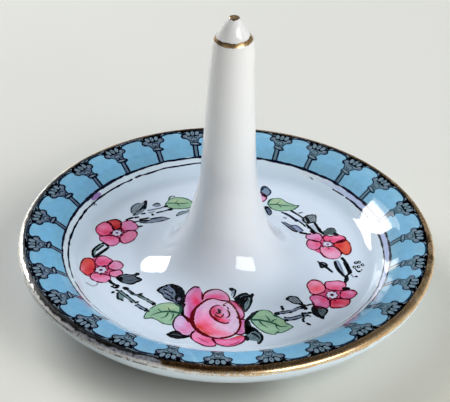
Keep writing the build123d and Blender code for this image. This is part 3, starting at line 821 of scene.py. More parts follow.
# mottling of the grey ground
for _ in range(520):
    a, r = RNG.uniform(-180, 180), RNG.uniform(44.6, 45.7)
    border.stroke([polar(a + t, r + 0.12 * math.sin(4 * t)) for t in np.linspace(0, RNG.uniform(0.4, 1.0), 3)], RNG.uniform(0.07, 0.13), F1 - 0.004,
                  ware(128, 146, 160) if RNG.random() < 0.6 else ware(54, 72, 88), step=0.2)


# ---- the two lines inside the border
def wobbly(r, w, weight, off=F3, amp=0.035, color=NAVY, a0=-180.0, a1=180.0, gap=0.0, seed=0):
    n = int((a1 - a0) * 2.2)
    a = np.linspace(a0, a1, n + 1)
    g = np.random.default_rng(seed)
    wave = np.interp(a, np.linspace(a0, a1, n // 6 + 2), g.normal(size=n // 6 + 2)) * amp
    ww = w * np.array([weight(x) for x in a]) * (1 + 0.22 * np.interp(a, np.linspace(a0, a1, n // 3 + 2), g.normal(size=n // 3 + 2)))
    pts = polar(a, r + wave)
    if gap:
        keep = np.interp(a, np.linspace(a0, a1, n // 4 + 2), g.random(n // 4 + 2)) > gap
        run = []
        for p, k, x in zip(pts, keep, ww):
            if k:
                run.append((p, x))
            if (not k or p is pts[-1]) and len(run) > 2:
                border.stroke([q for q, _ in run], [x for _, x in run], off, color, ends=(0.2, 0.2), rough=0, step=0.25)
            if not k:
                run = []
    else:
        border.stroke(pts, ww, off, color, ends=(0.05, 0.05), rough=0, step=0.25)


def thick_c(a):
    front = math.exp(-(a / (47.0 if a < 0 else 58.0)) ** 4)
    return 1.0 - 0.76 * front + 0.30 * math.exp(-((a + 120) / 16) ** 2) + 0.25 * math.exp(-((a - 140) / 25) ** 2)


# a lavender band between the two lines on the right, darker at its middle as painted shade on the steep bank
for a0 in np.arange(56, 150, 2.0):
    k = math.exp(-((a0 - 100) / 42) ** 4)
    outline = [polar(a0 + t, 36.5) for t in (0, 0.7, 1.4, 2.05)] + [polar(a0 + t, 37.62) for t in (2.05, 1.4, 0.7, 0)]
    border.fill(outline, F0, ware(214, 226, 240) * (1 - k) + ware(176, 188, 222) * k, step=0.5, curved=False)
wobbly(37.72, 0.42, thick_c, seed=3)
wobbly(36.42, 0.25, lambda a: 1 - 0.55 * math.exp(-(a / 44.0) ** 4) + 0.35 * math.exp(-((a - 105) / 40) ** 2) + 0.50 * math.exp(-((a + 100) / 40) ** 2), amp=0.05, gap=0.06, a0=-178, a1=144.5, seed=5)
wobbly(36.62, 0.26, lambda a: 1.0, amp=0.05, gap=0.05, a0=146.0, a1=180.5, seed=6)
border.stroke([polar(144.3, 36.40), polar(145.2, 36.52), polar(146.2, 36.63)], 0.18, F3, NAVY)
border.stroke([polar(-117.8, 35.6), polar(-116.8, 36.9)], 0.16, F3, NAVY)
border.stroke([polar(-118.3, 36.5), polar(-116.2, 35.95)], 0.14, F3, NAVY)
border.fill([polar(a, r) for a, r in ((-122.5, 36.7), (-119, 36.65), (-117.5, 36.9), (-118, 37.4), (-121, 37.5), (-123, 37.2))],
            F2, ware(150, 120, 175), step=0.3)

# ---- big rose
rose, leaf, blossom, gar = Layer(1.5), Layer(1.5), Layer(1.35), Layer(1.5)
BALL = [(-5.0, -18.0), (-3.9, -17.2), (-2.5, -17.0), (-0.9, -17.4), (0.5, -17.6), (1.4, -18.2), (2.2, -19.2), (2.9, -20.8), (3.2, -22.2),
        (3.5, -24.0), (3.4, -25.5), (3.0, -26.8), (2.4, -27.9), (1.3, -28.8), (0.0, -29.3), (-1.5, -29.5), (-2.8, -29.2), (-4.2, -28.4),
        (-5.4, -27.4), (-6.3, -26.2), (-6.8, -25.0), (-7.1, -23.8), (-7.0, -22.3), (-6.8, -20.8), (-6.2, -19.3)]
P_UL = [(-5.15, -15.3), (-5.7, -14.3), (-6.8, -13.95), (-7.7, -14.35), (-8.5, -15.2), (-8.85, -16.4), (-9.0, -17.6), (-9.2, -19.2), (-9.3, -20.6),
        (-9.0, -22.0), (-8.3, -23.2), (-7.4, -24.4), (-6.4, -25.2), (-5.4, -22.0), (-4.6, -18.2), (-4.9, -16.6)]
P_TOP = [(-4.95, -17.3), (-4.7, -15.9), (-4.0, -15.3), (-2.8, -15.0), (-1.6, -15.0), (-0.4, -15.4), (0.4, -15.9), (0.9, -16.6), (0.95, -17.5),
         (-0.5, -18.6), (-3.0, -18.4)]
P_LL = [(-7.6, -24.0), (-8.6, -22.7), (-9.3, -22.15), (-10.2, -22.4), (-10.9, -23.6), (-11.1, -25.0), (-10.9, -26.3), (-10.2, -27.6),
        (-9.2, -28.6), (-8.2, -28.9), (-7.5, -28.8), (-6.2, -27.4), (-5.2, -26.4), (-6.0, -24.8)]
P_BL = [(-7.05, -28.97), (-6.88, -27.80), (-6.26, -27.11), (-5.38, -27.57), (-4.27, -28.52), (-3.18, -29.13), (-2.30, -30.08), (-1.63, -31.36), (-1.83, -32.02),
        (-2.88, -32.23), (-3.95, -32.12), (-5.03, -31.51), (-6.13, -30.74), (-6.91, -29.79)]
P_BR = [(-2.30, -30.08), (-1.63, -31.20), (-0.56, -31.80), (0.72, -32.07), (2.00, -31.85), (3.06, -31.32), (4.11, -30.46), (4.54, -29.45), (4.42, -28.63),
        (3.67, -28.33), (2.81, -28.54), (1.96, -29.07), (0.90, -29.61), (-0.38, -29.60), (-1.67, -29.30)]
P_RL = [(3.2, -22.9), (4.4, -23.0), (4.8, -24.0), (4.9, -25.5), (4.8, -26.8), (4.2, -27.8), (3.2, -28.1), (2.2, -27.4), (2.6, -24.8)]
P_RU = [(0.9, -17.4), (2.2, -17.6), (3.2, -18.6), (4.0, -19.8), (4.3, -21.0), (4.2, -22.2), (3.5, -22.95), (2.6, -22.0), (1.6, -19.2)]
PK, LV, CR, OR = ware(222, 118, 170), ware(205, 178, 212), ware(214, 58, 96), ware(208, 74, 56)
rose.fill(P_UL, F0, shade(ware(200, 122, 176), (-6.3, -17.6, 1.0, 2.2, 20, ware(228, 62, 104), 0.95), (-7.3, -21.5, 0.7, 2.6, 0, ware(190, 62, 132), 0.85),
                          (-6.2, -15.8, 1.2, 1.0, 0, ware(224, 120, 160), 0.6), (-8.8, -19.6, 0.6, 3.2, 4, LV, 0.8), (-8.1, -15.0, 1.2, 0.8, 30, LV, 0.6)))
rose.fill(P_TOP, F0, shade(ware(208, 162, 196), (-2.2, -16.6, 2.9, 0.75, -4, ware(222, 84, 140), 0.95), (-3.2, -15.4, 1.6, 0.5, 10, LV, 0.7)))
rose.fill(P_LL, F0 + 0.001, shade(ware(198, 172, 212), (-8.6, -27.2, 1.8, 1.2, -35, ware(214, 120, 170), 0.8), (-7.6, -25.4, 0.9, 1.8, 25, ware(218, 112, 165), 0.85),
                                  (-10.0, -24.2, 1.0, 1.6, 0, LV, 0.8)))
rose.fill(P_BL, F0 + 0.002, shade(ware(226, 124, 172), (-5.9, -28.6, 1.0, 1.2, 0, ware(232, 150, 190), 0.8), (-3.2, -30.2, 1.8, 0.7, -15, ware(218, 92, 130), 0.8)))
rose.fill(P_BR, F0 + 0.001, shade(ware(222, 110, 160), (3.0, -28.7, 1.2, 0.55, 10, ware(206, 78, 62), 0.95), (0.6, -30.6, 2.4, 0.5, 4, ware(230, 140, 185), 0.8),
                                  (0.8, -29.5, 2.2, 0.45, 6, ware(196, 60, 104), 0.8)))
rose.fill(P_RL, F0, shade(ware(190, 118, 172), (3.9, -25.4, 0.6, 2.0, 0, ware(204, 112, 160), 0.8), (4.5, -26.0, 0.4, 1.5, 0, LV, 0.6)))
rose.fill(P_RU, F0, shade(ware(196, 104, 154), (3.6, -20.4, 0.6, 1.3, 25, ware(214, 156, 198), 0.8), (2.4, -18.6, 0.9, 0.5, -45, ware(214, 86, 130), 0.8)))
rose.fill(BALL, F1, shade(ware(210, 178, 208),
                          (-3.6, -23.0, 3.2, 2.0, 65, ware(226, 134, 182), 0.95), (-4.0, -25.6, 2.8, 1.7, -38, ware(228, 92, 124), 1.0),
                          (-2.0, -27.4, 3.0, 1.2, -18, ware(226, 104, 136), 0.95), (-5.3, -26.0, 1.6, 0.75, -48, ware(206, 62, 50), 0.95),
                          (-3.6, -27.9, 1.6, 0.6, -28, ware(208, 70, 62), 0.9), (0.4, -28.0, 2.2, 0.8, 8, ware(228, 126, 160), 0.9),
                          (-5.8, -21.6, 0.75, 2.8, -4, ware(214, 112, 172), 0.75), (1.7, -25.6, 1.2, 2.4, 0, ware(206, 184, 214), 0.8),
                          (-0.6, -25.8, 1.8, 0.9, -15, ware(214, 172, 202), 0.7), (-4.2, -18.9, 1.6, 0.7, 25, ware(206, 170, 206), 0.8)))
rose.fill([(-1.1, -18.7), (-2.0, -18.8), (-2.8, -19.4), (-3.15, -20.4), (-3.0, -21.5), (-2.4, -22.7), (-1.4, -23.7), (-0.4, -24.2), (0.5, -24.3),
           (1.25, -23.8), (1.5, -23.2), (0.9, -22.9), (0.5, -22.7), (1.0, -21.8), (1.0, -20.8), (0.4, -19.8)], F1 + 0.005,
          shade(ware(206, 128, 172), (-2.4, -20.6, 0.85, 1.7, 8, ware(196, 50, 92), 0.95), (-0.9, -23.2, 1.7, 0.65, -30, ware(220, 66, 92), 0.95),
                (0.2, -21.0, 0.7, 1.3, 0, ware(208, 168, 204), 0.85), (-1.0, -21.8, 0.9, 0.5, -40, ware(212, 74, 84), 0.8)))

r_ = lambda pts, w, c=MAROON, off=F2, **kw: rose.stroke(pts, w, off, c, **kw)
r_(P_UL[1:11], [0.22, 0.26, 0.18, 0.14, 0.20, 0.30, 0.42], c=ware(70, 14, 48))
r_([(-5.0, -17.2), (-5.05, -16.2), (-5.2, -15.2)], [0.30, 0.22])
r_([(-8.9, -22.0), (-8.1, -23.2), (-7.3, -24.3)], [0.2, 0.55, 0.75])
r_(P_TOP[:10], [0.22, 0.26, 0.14, 0.12, 0.2, 0.14])
r_(P_LL[1:12], [0.30, 0.20, 0.26, 0.24, 0.16, 0.26, 0.22, 0.16], c=ware(62, 14, 50))
r_(P_BL[7:] + P_BL[:3], [0.24, 0.22, 0.26, 0.30, 0.24, 0.2, 0.30, 0.26, 0.2], c=ware(84, 12, 44))
r_([(-2.5, -29.5), (-2.1, -30.4), (-1.6, -31.3)], [0.40, 0.30], c=ware(84, 12, 44))
r_(P_BR[1:10], [0.2, 0.24, 0.2, 0.24, 0.26, 0.24, 0.2], c=ware(84, 12, 44))
r_([(1.2, -31.6), (2.4, -31.1), (3.4, -30.2)], [0.12, 0.2, 0.12], c=ware(170, 60, 110))
r_([(-5.6, -29.4), (-4.4, -30.4), (-3.2, -31.2)], [0.12, 0.2, 0.12], c=ware(176, 66, 116))
r_(P_RL[:8], [0.26, 0.22, 0.18, 0.24, 0.26, 0.3], c=ware(66, 14, 48))
r_(P_RU[:8], [0.18, 0.24, 0.30, 0.26, 0.2, 0.34, 0.3])
r_(BALL, [0.34, 0.26, 0.14, 0.22, 0.34, 0.36, 0.34, 0.38, 0.36, 0.34, 0.30, 0.34, 0.36, 0.38, 0.38, 0.40, 0.50, 0.60, 0.66, 0.68, 0.66, 0.60, 0.52, 0.44, 0.36],
   closed=True, off=F3, rough=0.14)
r_([(-0.9, -18.78), (-1.5, -18.65), (-2.2, -18.9), (-2.85, -19.45), (-3.2, -20.4), (-3.05, -21.5), (-2.5, -22.6), (-1.5, -23.7), (-0.5, -24.25), (0.4, -24.45),
    (1.05, -24.05)], [0.14, 0.24, 0.28, 0.34, 0.38, 0.40, 0.36, 0.34], off=F3)
r_([(-0.5, -18.85), (-0.1, -18.7), (0.3, -18.85)], 0.22, c=ware(52, 10, 32), off=F3)
r_([(0.45, -19.05), (0.75, -19.35), (0.9, -19.75)], 0.24, c=ware(52, 10, 32), off=F3)
r_([(0.55, -19.7), (0.95, -20.6), (1.12, -21.5), (0.85, -22.25), (0.4, -22.65)], [0.18, 0.30, 0.28, 0.2], off=F3)
r_([(-2.15, -21.3), (-1.7, -22.05), (-1.1, -22.45), (-0.65, -22.3), (-0.35, -21.8), (-0.2, -21.1)], [0.24, 0.36, 0.28, 0.22], off=F3)
r_([(-2.4, -22.0), (-1.7, -22.9), (-0.9, -23.3)], [0.16, 0.30, 0.16], c=ware(150, 22, 50), off=F3)
rose.dot(-1.2, -20.45, 0.34, 0.85, 10, F3, ware(40, 6, 24))
r_([(-1.9, -20.6), (-1.5, -21.2), (-1.25, -21.0)], [0.2, 0.3, 0.2], c=ware(90, 10, 38), off=F3)
r_([(-0.75, -19.6), (-0.85, -20.4), (-0.8, -21.2)], [0.12, 0.2, 0.12], c=ware(110, 16, 52), off=F3)

# second rose behind the post: only its edges show
for k, (a, w) in enumerate(((20, 3.3), (95, 3.0), (165, 3.2), (235, 3.1), (305, 3.2))):
    x, y = 2.3 + 4.3 * math.cos(math.radians(a)), 23.6 + 3.3 * math.sin(math.radians(a))
    o = [(x + w * math.cos(t), y + 0.78 * w * math.sin(t)) for t in np.linspace(0, 2 * math.pi, 11)[:-1]]
    rose.fill(o, F0 + 0.0008 * k, shade(ware(206, 152, 190), (2.3, 23.6, 3.6, 2.8, 0, ware(214, 92, 140), 0.8)))
    rose.stroke(o, 0.24, F2, MAROON, closed=True)
o = [(2.3 + 3.6 * math.cos(t), 23.6 + 2.9 * math.sin(t)) for t in np.linspace(0, 2 * math.pi, 13)[:-1]]
rose.fill(o, F1, shade(ware(212, 170, 202), (1.2, 24.4, 2.0, 1.4, 0, ware(220, 96, 130), 0.9)))
rose.stroke(o, 0.34, F3, MAROON, closed=True)


# ---- green leaves
GR, GY, GD = ware(142, 178, 152), ware(168, 188, 152), ware(52, 84, 72)


def green(outline, touches, edge=(0.20, 0.14, 0.22, 0.14), tint=GR, edge_c=ware(46, 78, 70)):
    leaf.fill(outline, F0, shade(tint, *touches))
    leaf.stroke(outline, list(edge) + [edge[0]], F2, edge_c, closed=True, rough=0.25)


green([(-17.51, -23.38), (-17.19, -21.64), (-16.41, -20.22), (-15.37, -19.12), (-14.31, -18.37), (-13.01, -17.96), (-11.69, -17.91), (-10.33, -18.55), (-9.63, -19.22),
       (-9.79, -20.62), (-10.16, -22.02), (-10.77, -23.08), (-10.92, -24.45), (-11.30, -25.30), (-12.17, -25.40), (-13.50, -24.90), (-14.64, -23.93), (-15.77, -23.30), (-16.63, -23.45)],
      [(-12.4, -19.4, 1.6, 1.0, 0, GY, 0.8), (-12.2, -24.0, 1.4, 1.0, 0, ware(150, 188, 162), 0.8), (-15.4, -21.4, 1.4, 1.2, 0, ware(126, 166, 142), 0.7),
       (-11.2, -21.2, 0.9, 0.8, 0, ware(96, 138, 112), 0.7)])
for pts, w in (([(-16.25, -22.63), (-15.0, -21.72), (-13.72, -21.14), (-12.41, -20.91), (-11.0, -21.04), (-10.0, -21.4)], [0.10, 0.18, 0.26, 0.34, 0.48, 0.40]),
               ([(-11.9, -21.0), (-12.5, -19.5)], [0.26, 0.12]), ([(-12.3, -21.2), (-12.8, -22.6), (-13.9, -23.3)], [0.28, 0.22, 0.12]), ([(-13.9, -21.1), (-14.8, -19.9)], [0.2, 0.1]),
               ([(-11.2, -21.6), (-11.3, -23.0), (-11.9, -24.2)], [0.26, 0.18, 0.1]),
               ([(-10.9, -18.4), (-9.9, -19.0), (-9.6, -20.2), (-9.9, -21.6), (-10.5, -22.8)], [0.22, 0.36, 0.44, 0.36, 0.22])):
    leaf.stroke(pts, w, F3, GD)
green([(5.81, -23.02), (6.47, -21.27), (7.57, -19.84), (8.67, -19.44), (9.77, -19.74), (10.42, -20.40), (10.85, -21.42), (11.94, -21.89), (13.02, -22.70), (13.43, -23.70),
       (14.29, -24.34), (14.93, -24.99), (14.26, -25.70), (13.16, -26.58), (12.07, -27.13), (11.43, -26.99), (10.99, -27.68), (9.91, -27.56), (8.62, -26.95), (7.55, -25.99),
       (6.68, -24.85), (6.03, -23.69)],
      [(8.4, -20.6, 1.8, 1.0, 0, ware(158, 196, 162), 0.8), (9.6, -25.8, 2.2, 0.9, -10, ware(160, 196, 166), 0.8), (12.6, -23.6, 1.2, 0.9, 0, ware(146, 178, 140), 0.7),
       (6.6, -23.6, 0.9, 0.9, 0, ware(150, 190, 180), 0.7), (10.6, -23.2, 1.0, 0.8, 0, ware(128, 172, 136), 0.7)])
for pts, w in (([(5.59, -23.03), (7.34, -22.95), (8.65, -23.23), (9.73, -23.53), (11.03, -24.15), (12.32, -25.0), (13.85, -24.75)], [0.30, 0.42, 0.34, 0.36, 0.32, 0.22, 0.12]),
               ([(7.56, -23.28), (8.42, -24.60), (9.50, -25.57)], [0.30, 0.20, 0.1]), ([(8.88, -21.31), (9.5, -22.2), (9.96, -23.2)], [0.12, 0.2, 0.30]),
               ([(10.2, -23.6), (10.9, -22.8), (11.6, -22.4)], [0.26, 0.16, 0.1]), ([(10.7, -21.0), (11.6, -21.5), (12.6, -22.3)], [0.34, 0.24, 0.14]),
               ([(11.2, -24.3), (11.4, -25.4), (12.0, -26.3)], [0.24, 0.16, 0.1]), ([(11.3, -27.2), (11.9, -26.7)], 0.4)):
    leaf.stroke(pts, w, F3, GD)
green([(-15.2, 20.4), (-14.7, 22.0), (-14.0, 23.0), (-12.6, 23.6), (-11.0, 23.5), (-9.4, 22.6), (-8.6, 21.2), (-9.0, 19.6), (-10.4, 18.9), (-12.2, 18.7), (-13.8, 18.9), (-14.8, 19.5)],
      [(-12.4, 22.2, 2.0, 0.9, 0, GY, 0.8), (-11.6, 19.8, 2.0, 0.7, 0, ware(136, 172, 146), 0.8)])
for pts, w in (([(-14.8, 20.9), (-13.2, 21.1), (-11.2, 21.0), (-9.4, 21.4)], [0.24, 0.26, 0.20, 0.1]), ([(-14.6, 22.4), (-14.2, 23.8), (-13.4, 24.1), (-13.0, 23.6)], [0.2, 0.3, 0.16]),
               ([(-12.9, 21.1), (-12.2, 22.4)], [0.2, 0.1]), ([(-12.4, 21.0), (-11.6, 19.8)], [0.2, 0.1])):
    leaf.stroke(pts, w, F3, GD)
green([(9.9, 21.8), (10.2, 23.4), (10.9, 24.2), (12.3, 24.5), (13.4, 24.2), (14.4, 23.0), (15.6, 22.2), (16.6, 21.6), (17.5, 21.5), (16.9, 20.6), (16.2, 19.8),
       (15.6, 19.5), (14.2, 19.2), (12.8, 19.0), (11.2, 19.6), (10.4, 20.6)],
      [(12.4, 23.0, 1.6, 0.9, 0, GY, 0.8), (13.2, 20.4, 2.0, 0.8, 0, ware(138, 178, 150), 0.8)])
for pts, w in (([(10.0, 21.6), (12.0, 21.8), (14.0, 21.4), (16.4, 21.2)], [0.30, 0.26, 0.20, 0.1]), ([(12.0, 21.8), (12.8, 23.2)], [0.2, 0.1]),
               ([(12.6, 21.7), (13.2, 20.4)], [0.2, 0.1]), ([(11.0, 24.2), (10.4, 23.6), (9.9, 22.2)], [0.3, 0.36, 0.2])):
    leaf.stroke(pts, w, F3, GD)


# ---- blossoms
def petal(outline, base, touches=(), w=0.24, edge=ware(92, 14, 44), off=F0):
    blossom.fill(outline, off, shade(base, *touches), step=0.32)
    blossom.stroke(outline, [w * 0.8, w * 1.25, w * 0.7, w * 1.15, w * 0.8], F2, edge, closed=True, rough=0.22)


def eye(x, y, r=1.25, dot=0.38, ring=1.75, lobes=7, dark=ware(52, 14, 40)):
    o = [(x + (r + 0.16 * math.cos(lobes * t)) * math.cos(t), y + (r + 0.16 * math.cos(lobes * t)) * math.sin(t)) for t in np.linspace(0, 2 * math.pi, 29)[:-1]]
    blossom.fill(o, F1, shade(ware(206, 200, 222), (x, y, r * 0.7, r * 0.7, 0, ware(186, 176, 210), 0.6)), step=0.3)
    for t in np.linspace(0, 2 * math.pi, lobes + 1)[:-1]:
        blossom.dot(x + ring * math.cos(t + 0.3), y + ring * math.sin(t + 0.3), 0.24, 0.22, 0, F3, dark)
    blossom.stroke(o, 0.16, F3, dark, closed=True, rough=0.3)
    blossom.dot(x, y, dot, dot * 0.9, 0, F3, dark)


for x, y, rx, ry in ((-28.7, -5.9, 3.9, 4.3), (-26.6, 7.9, 3.9, 4.2), (23.9, 5.4, 4.0, 3.9), (23.8, -13.2, 3.9, 3.9)):
    blossom.fill([(x + rx * math.cos(t), y + ry * math.sin(t)) for t in np.linspace(0, 2 * math.pi, 15)[:-1]], F0 - 0.003,
                 shade(ware(206, 104, 148), (x, y, 2.6, 2.6, 0, ware(190, 60, 96), 0.8)))
# left, nearer the front
petal([(-30.10, -4.08), (-30.02, -2.54), (-29.43, -1.55), (-28.29, -1.30), (-27.07, -2.01), (-26.29, -2.94), (-26.22, -3.70), (-27.07, -4.91), (-28.20, -5.25), (-29.36, -5.11)], ware(212, 106, 150),
      [(-28.4, -3.9, 1.4, 0.9, 0, ware(210, 72, 110), 0.8), (-28.3, -1.7, 1.5, 0.6, 0, ware(220, 150, 186), 0.7)])
petal([(-26.67, -3.91), (-25.81, -3.11), (-24.65, -3.25), (-23.77, -4.16), (-23.58, -5.10), (-24.17, -6.26), (-25.29, -6.50), (-26.45, -6.18), (-26.98, -5.26)], ware(206, 142, 180),
      [(-26.2, -5.2, 0.9, 0.8, 0, ware(212, 100, 140), 0.8)])
petal([(-26.32, -7.20), (-25.05, -6.68), (-24.15, -6.45), (-23.65, -6.99), (-23.46, -7.92), (-24.18, -8.88), (-25.29, -9.12), (-26.34, -8.41)], ware(208, 132, 172),
      [(-26.4, -7.4, 0.9, 0.8, 0, ware(214, 100, 136), 0.8)])
petal([(-30.58, -8.44), (-29.47, -7.90), (-28.26, -8.19), (-27.15, -8.35), (-26.21, -8.98), (-26.02, -9.89), (-26.71, -11.03), (-28.04, -11.28), (-29.44, -10.79), (-30.43, -9.91)], ware(214, 134, 176),
      [(-28.8, -8.8, 1.8, 0.7, 0, ware(216, 92, 128), 0.8)])
petal([(-33.27, -6.55), (-33.27, -4.49), (-32.77, -2.73), (-31.90, -2.24), (-30.94, -2.58), (-30.25, -3.70), (-30.03, -4.83), (-29.83, -6.36), (-30.18, -7.51), (-31.22, -8.85), (-32.19, -8.27), (-33.06, -7.47)], ware(206, 78, 78),
      [(-32.4, -4.4, 0.8, 1.6, 0, ware(214, 96, 92), 0.8), (-30.8, -6.4, 0.7, 1.5, 0, ware(196, 52, 72), 0.8), (-32.9, -6.6, 0.5, 1.2, 0, ware(226, 134, 160), 0.7)])
eye(-28.48, -6.65, 1.3, 0.42, 1.75)
# left, nearer the back
petal([(-31.11, 8.51), (-31.14, 10.11), (-30.43, 11.41), (-29.32, 12.31), (-28.08, 11.95), (-27.46, 10.33), (-27.08, 8.70), (-27.90, 7.24), (-29.02, 6.58), (-30.26, 7.13)], ware(222, 102, 142),
      [(-29.6, 10.4, 1.0, 1.0, 0, ware(226, 140, 176), 0.8), (-28.6, 8.0, 0.9, 0.8, 0, ware(208, 60, 96), 0.8)])
petal([(-29.08, 12.32), (-28.18, 12.99), (-27.01, 13.46), (-26.02, 13.09), (-25.33, 12.09), (-25.32, 10.43), (-25.96, 9.58), (-26.90, 9.33), (-27.50, 10.74), (-28.56, 11.93)], ware(184, 64, 66),
      [(-27.6, 12.0, 1.4, 0.6, 0, ware(206, 84, 92), 0.8), (-27.0, 10.2, 1.3, 0.6, 0, ware(150, 34, 50), 0.7)], edge=ware(40, 10, 26), w=0.30)
petal([(-25.45, 12.08), (-24.55, 12.75), (-23.38, 13.22), (-22.37, 12.65), (-21.56, 11.44), (-21.24, 10.22), (-21.89, 9.37), (-23.30, 9.09), (-24.74, 9.03), (-25.32, 10.43)], ware(204, 128, 172),
      [(-24.9, 9.8, 0.9, 0.9, 0, ware(212, 84, 126), 0.8)])
petal([(-25.02, 6.77), (-24.67, 7.61), (-23.71, 8.67), (-22.35, 9.14), (-21.47, 8.57), (-21.25, 7.16), (-21.84, 5.52), (-22.93, 4.26), (-24.07, 3.81), (-24.83, 4.57), (-25.18, 5.96)], ware(212, 126, 164),
      [(-24.8, 7.2, 0.8, 1.2, 0, ware(216, 92, 130), 0.8)])
petal([(-29.93, 6.13), (-29.01, 6.58), (-27.85, 6.84), (-26.63, 6.59), (-25.67, 6.14), (-25.24, 5.15), (-25.47, 3.74), (-26.55, 2.70), (-27.74, 2.84), (-29.03, 4.17), (-29.81, 4.93)], ware(216, 120, 168),
      [(-27.4, 6.0, 1.6, 0.8, 0, ware(212, 82, 120), 0.85), (-27.6, 3.8, 1.3, 0.5, 0, ware(226, 158, 194), 0.7)])
eye(-26.06, 7.94, 1.2, 0.36, 1.6)
# right, nearer the back
petal([(22.4, 7.2), (22.6, 9.0), (21.8, 10.1), (20.2, 10.2), (19.0, 9.2), (18.9, 7.9), (20.0, 7.3), (21.4, 6.6)], ware(206, 142, 186),
      [(21.6, 7.8, 0.9, 0.8, 0, ware(212, 92, 140), 0.8)])
petal([(22.0, 6.6), (20.6, 7.3), (19.3, 7.1), (18.9, 5.6), (19.2, 4.1), (20.4, 3.3), (21.6, 3.9), (22.3, 5.2)], ware(212, 122, 162),
      [(21.5, 5.6, 0.8, 1.1, 0, ware(214, 84, 122), 0.8)])
petal([(22.3, 4.8), (22.0, 3.0), (22.8, 1.0), (24.2, 0.1), (25.8, 0.3), (26.8, 1.6), (26.7, 3.4), (25.8, 4.7), (24.0, 5.0)], ware(216, 150, 182),
      [(24.2, 3.9, 1.6, 0.8, 0, ware(216, 88, 128), 0.85), (24.4, 1.4, 1.4, 0.7, 0, ware(224, 176, 204), 0.6)])
petal([(25.4, 5.2), (26.4, 3.6), (27.6, 2.0), (28.7, 2.2), (29.3, 3.8), (29.2, 6.0), (28.4, 7.7), (27.2, 7.6), (25.9, 6.6)], ware(208, 88, 74),
      [(28.2, 4.6, 0.7, 1.7, 0, ware(216, 100, 92), 0.8), (26.6, 5.4, 0.9, 1.0, 0, ware(196, 52, 70), 0.8)])
petal([(24.6, 6.6), (25.9, 6.4), (27.4, 6.9), (28.3, 8.0), (27.6, 9.3), (26.0, 9.6), (24.7, 9.0), (23.6, 9.4), (22.9, 8.4), (23.4, 7.0)], ware(216, 94, 132),
      [(26.2, 8.7, 1.4, 0.5, 0, ware(224, 140, 180), 0.7)])
eye(23.9, 5.8, 1.15, 0.30, 1.6)
# right, nearer the front
petal([(18.45, -10.42), (18.71, -9.32), (19.43, -8.35), (20.35, -8.12), (21.46, -8.62), (22.11, -9.51), (22.51, -10.59), (22.44, -12.00), (21.51, -12.92), (20.37, -13.42), (19.26, -13.11), (18.85, -11.86)],
      ware(222, 128, 156), [(20.6, -11.4, 1.5, 1.1, 20, ware(228, 92, 112), 0.9), (20.2, -9.2, 1.0, 0.7, 0, ware(228, 162, 196), 0.7)])
petal([(22.56, -9.49), (22.82, -8.74), (23.74, -8.52), (24.89, -8.28), (26.03, -8.22), (27.13, -8.91), (27.29, -10.01), (27.00, -11.12), (26.06, -11.71), (24.72, -11.79), (23.61, -11.57), (22.72, -10.95)], ware(216, 122, 162),
      [(24.8, -11.0, 1.6, 0.7, 0, ware(214, 76, 112), 0.85), (25.2, -9.2, 1.6, 0.5, 0, ware(228, 160, 194), 0.7)])
petal([(26.33, -11.96), (28.11, -11.43), (29.21, -11.74), (29.62, -12.45), (29.10, -13.56), (28.15, -14.50), (27.02, -14.73), (25.92, -14.42), (25.82, -12.97)], ware(206, 102, 144),
      [(28.2, -12.4, 0.8, 0.6, 0, ware(220, 148, 188), 0.7), (26.6, -13.2, 0.9, 0.7, 0, ware(212, 70, 110), 0.8)])
petal([(23.40, -15.60), (24.55, -14.84), (25.90, -14.78), (27.24, -14.72), (27.89, -15.04), (27.58, -16.48), (26.41, -17.59), (24.83, -18.01), (23.51, -17.90), (23.35, -16.67)], ware(206, 86, 108),
      [(24.6, -16.0, 1.3, 0.9, 0, ware(196, 46, 76), 0.8), (26.0, -17.2, 1.1, 0.4, 0, ware(222, 132, 168), 0.7)], w=0.30)
petal([(19.23, -14.01), (20.36, -13.60), (21.69, -13.89), (22.84, -14.73), (23.40, -15.60), (23.33, -17.02), (22.62, -18.11), (21.28, -18.35), (19.97, -17.88), (19.58, -16.49), (18.96, -15.09)], ware(204, 108, 156),
      [(22.0, -15.2, 0.9, 1.1, 20, ware(214, 76, 116), 0.85), (20.4, -16.0, 0.8, 1.0, 0, ware(216, 152, 190), 0.7)])
eye(23.95, -13.43, 1.3, 0.44, 2.0, lobes=8)

# ---- dark leaves, twigs and tendrils
g_ = lambda pts, w, c=BLACK, off=F2, **kw: gar.stroke(pts, w, off, c, **kw)
GB, GG = ware(104, 120, 142), ware(110, 134, 138)
G1, G2 = ware(112, 126, 148), ware(128, 142, 160)
tw = lambda pts, w, edge=0.20, fill=G1: gar.band(pts, w, F0, fill, edge, BLACK)
# beside the rose
gar.fill([(-15.14, -13.83), (-14.63, -12.89), (-13.75, -12.54), (-12.87, -12.26), (-11.97, -12.37), (-11.05, -12.78), (-10.12, -13.48), (-9.40, -14.49), (-9.02, -15.60), (-9.00, -17.00), (-9.24, -18.21), (-9.89, -18.37), (-10.80, -17.88), (-11.72, -17.22), (-12.63, -16.72), (-13.57, -15.88), (-14.08, -14.70)], F0, G1, step=0.4)
gar.stroke([(-15.14, -13.83), (-14.63, -12.89), (-13.75, -12.54), (-12.87, -12.26), (-11.97, -12.37), (-11.05, -12.78), (-10.12, -13.48), (-9.40, -14.49), (-9.02, -15.60), (-9.00, -17.00), (-9.24, -18.21), (-9.89, -18.37), (-10.80, -17.88), (-11.72, -17.22), (-12.63, -16.72), (-13.57, -15.88), (-14.08, -14.70)], 0.27, F2, BLACK, closed=True, rough=0.3)
gar.hatch([(-15.03, -13.84), (-14.19, -12.78), (-12.86, -12.40), (-11.92, -13.28), (-11.16, -15.09), (-11.18, -16.90), (-12.19, -16.72), (-13.35, -15.88), (-13.98, -14.54)], 35, 0.46, 0.14, F2, ware(36, 42, 54))
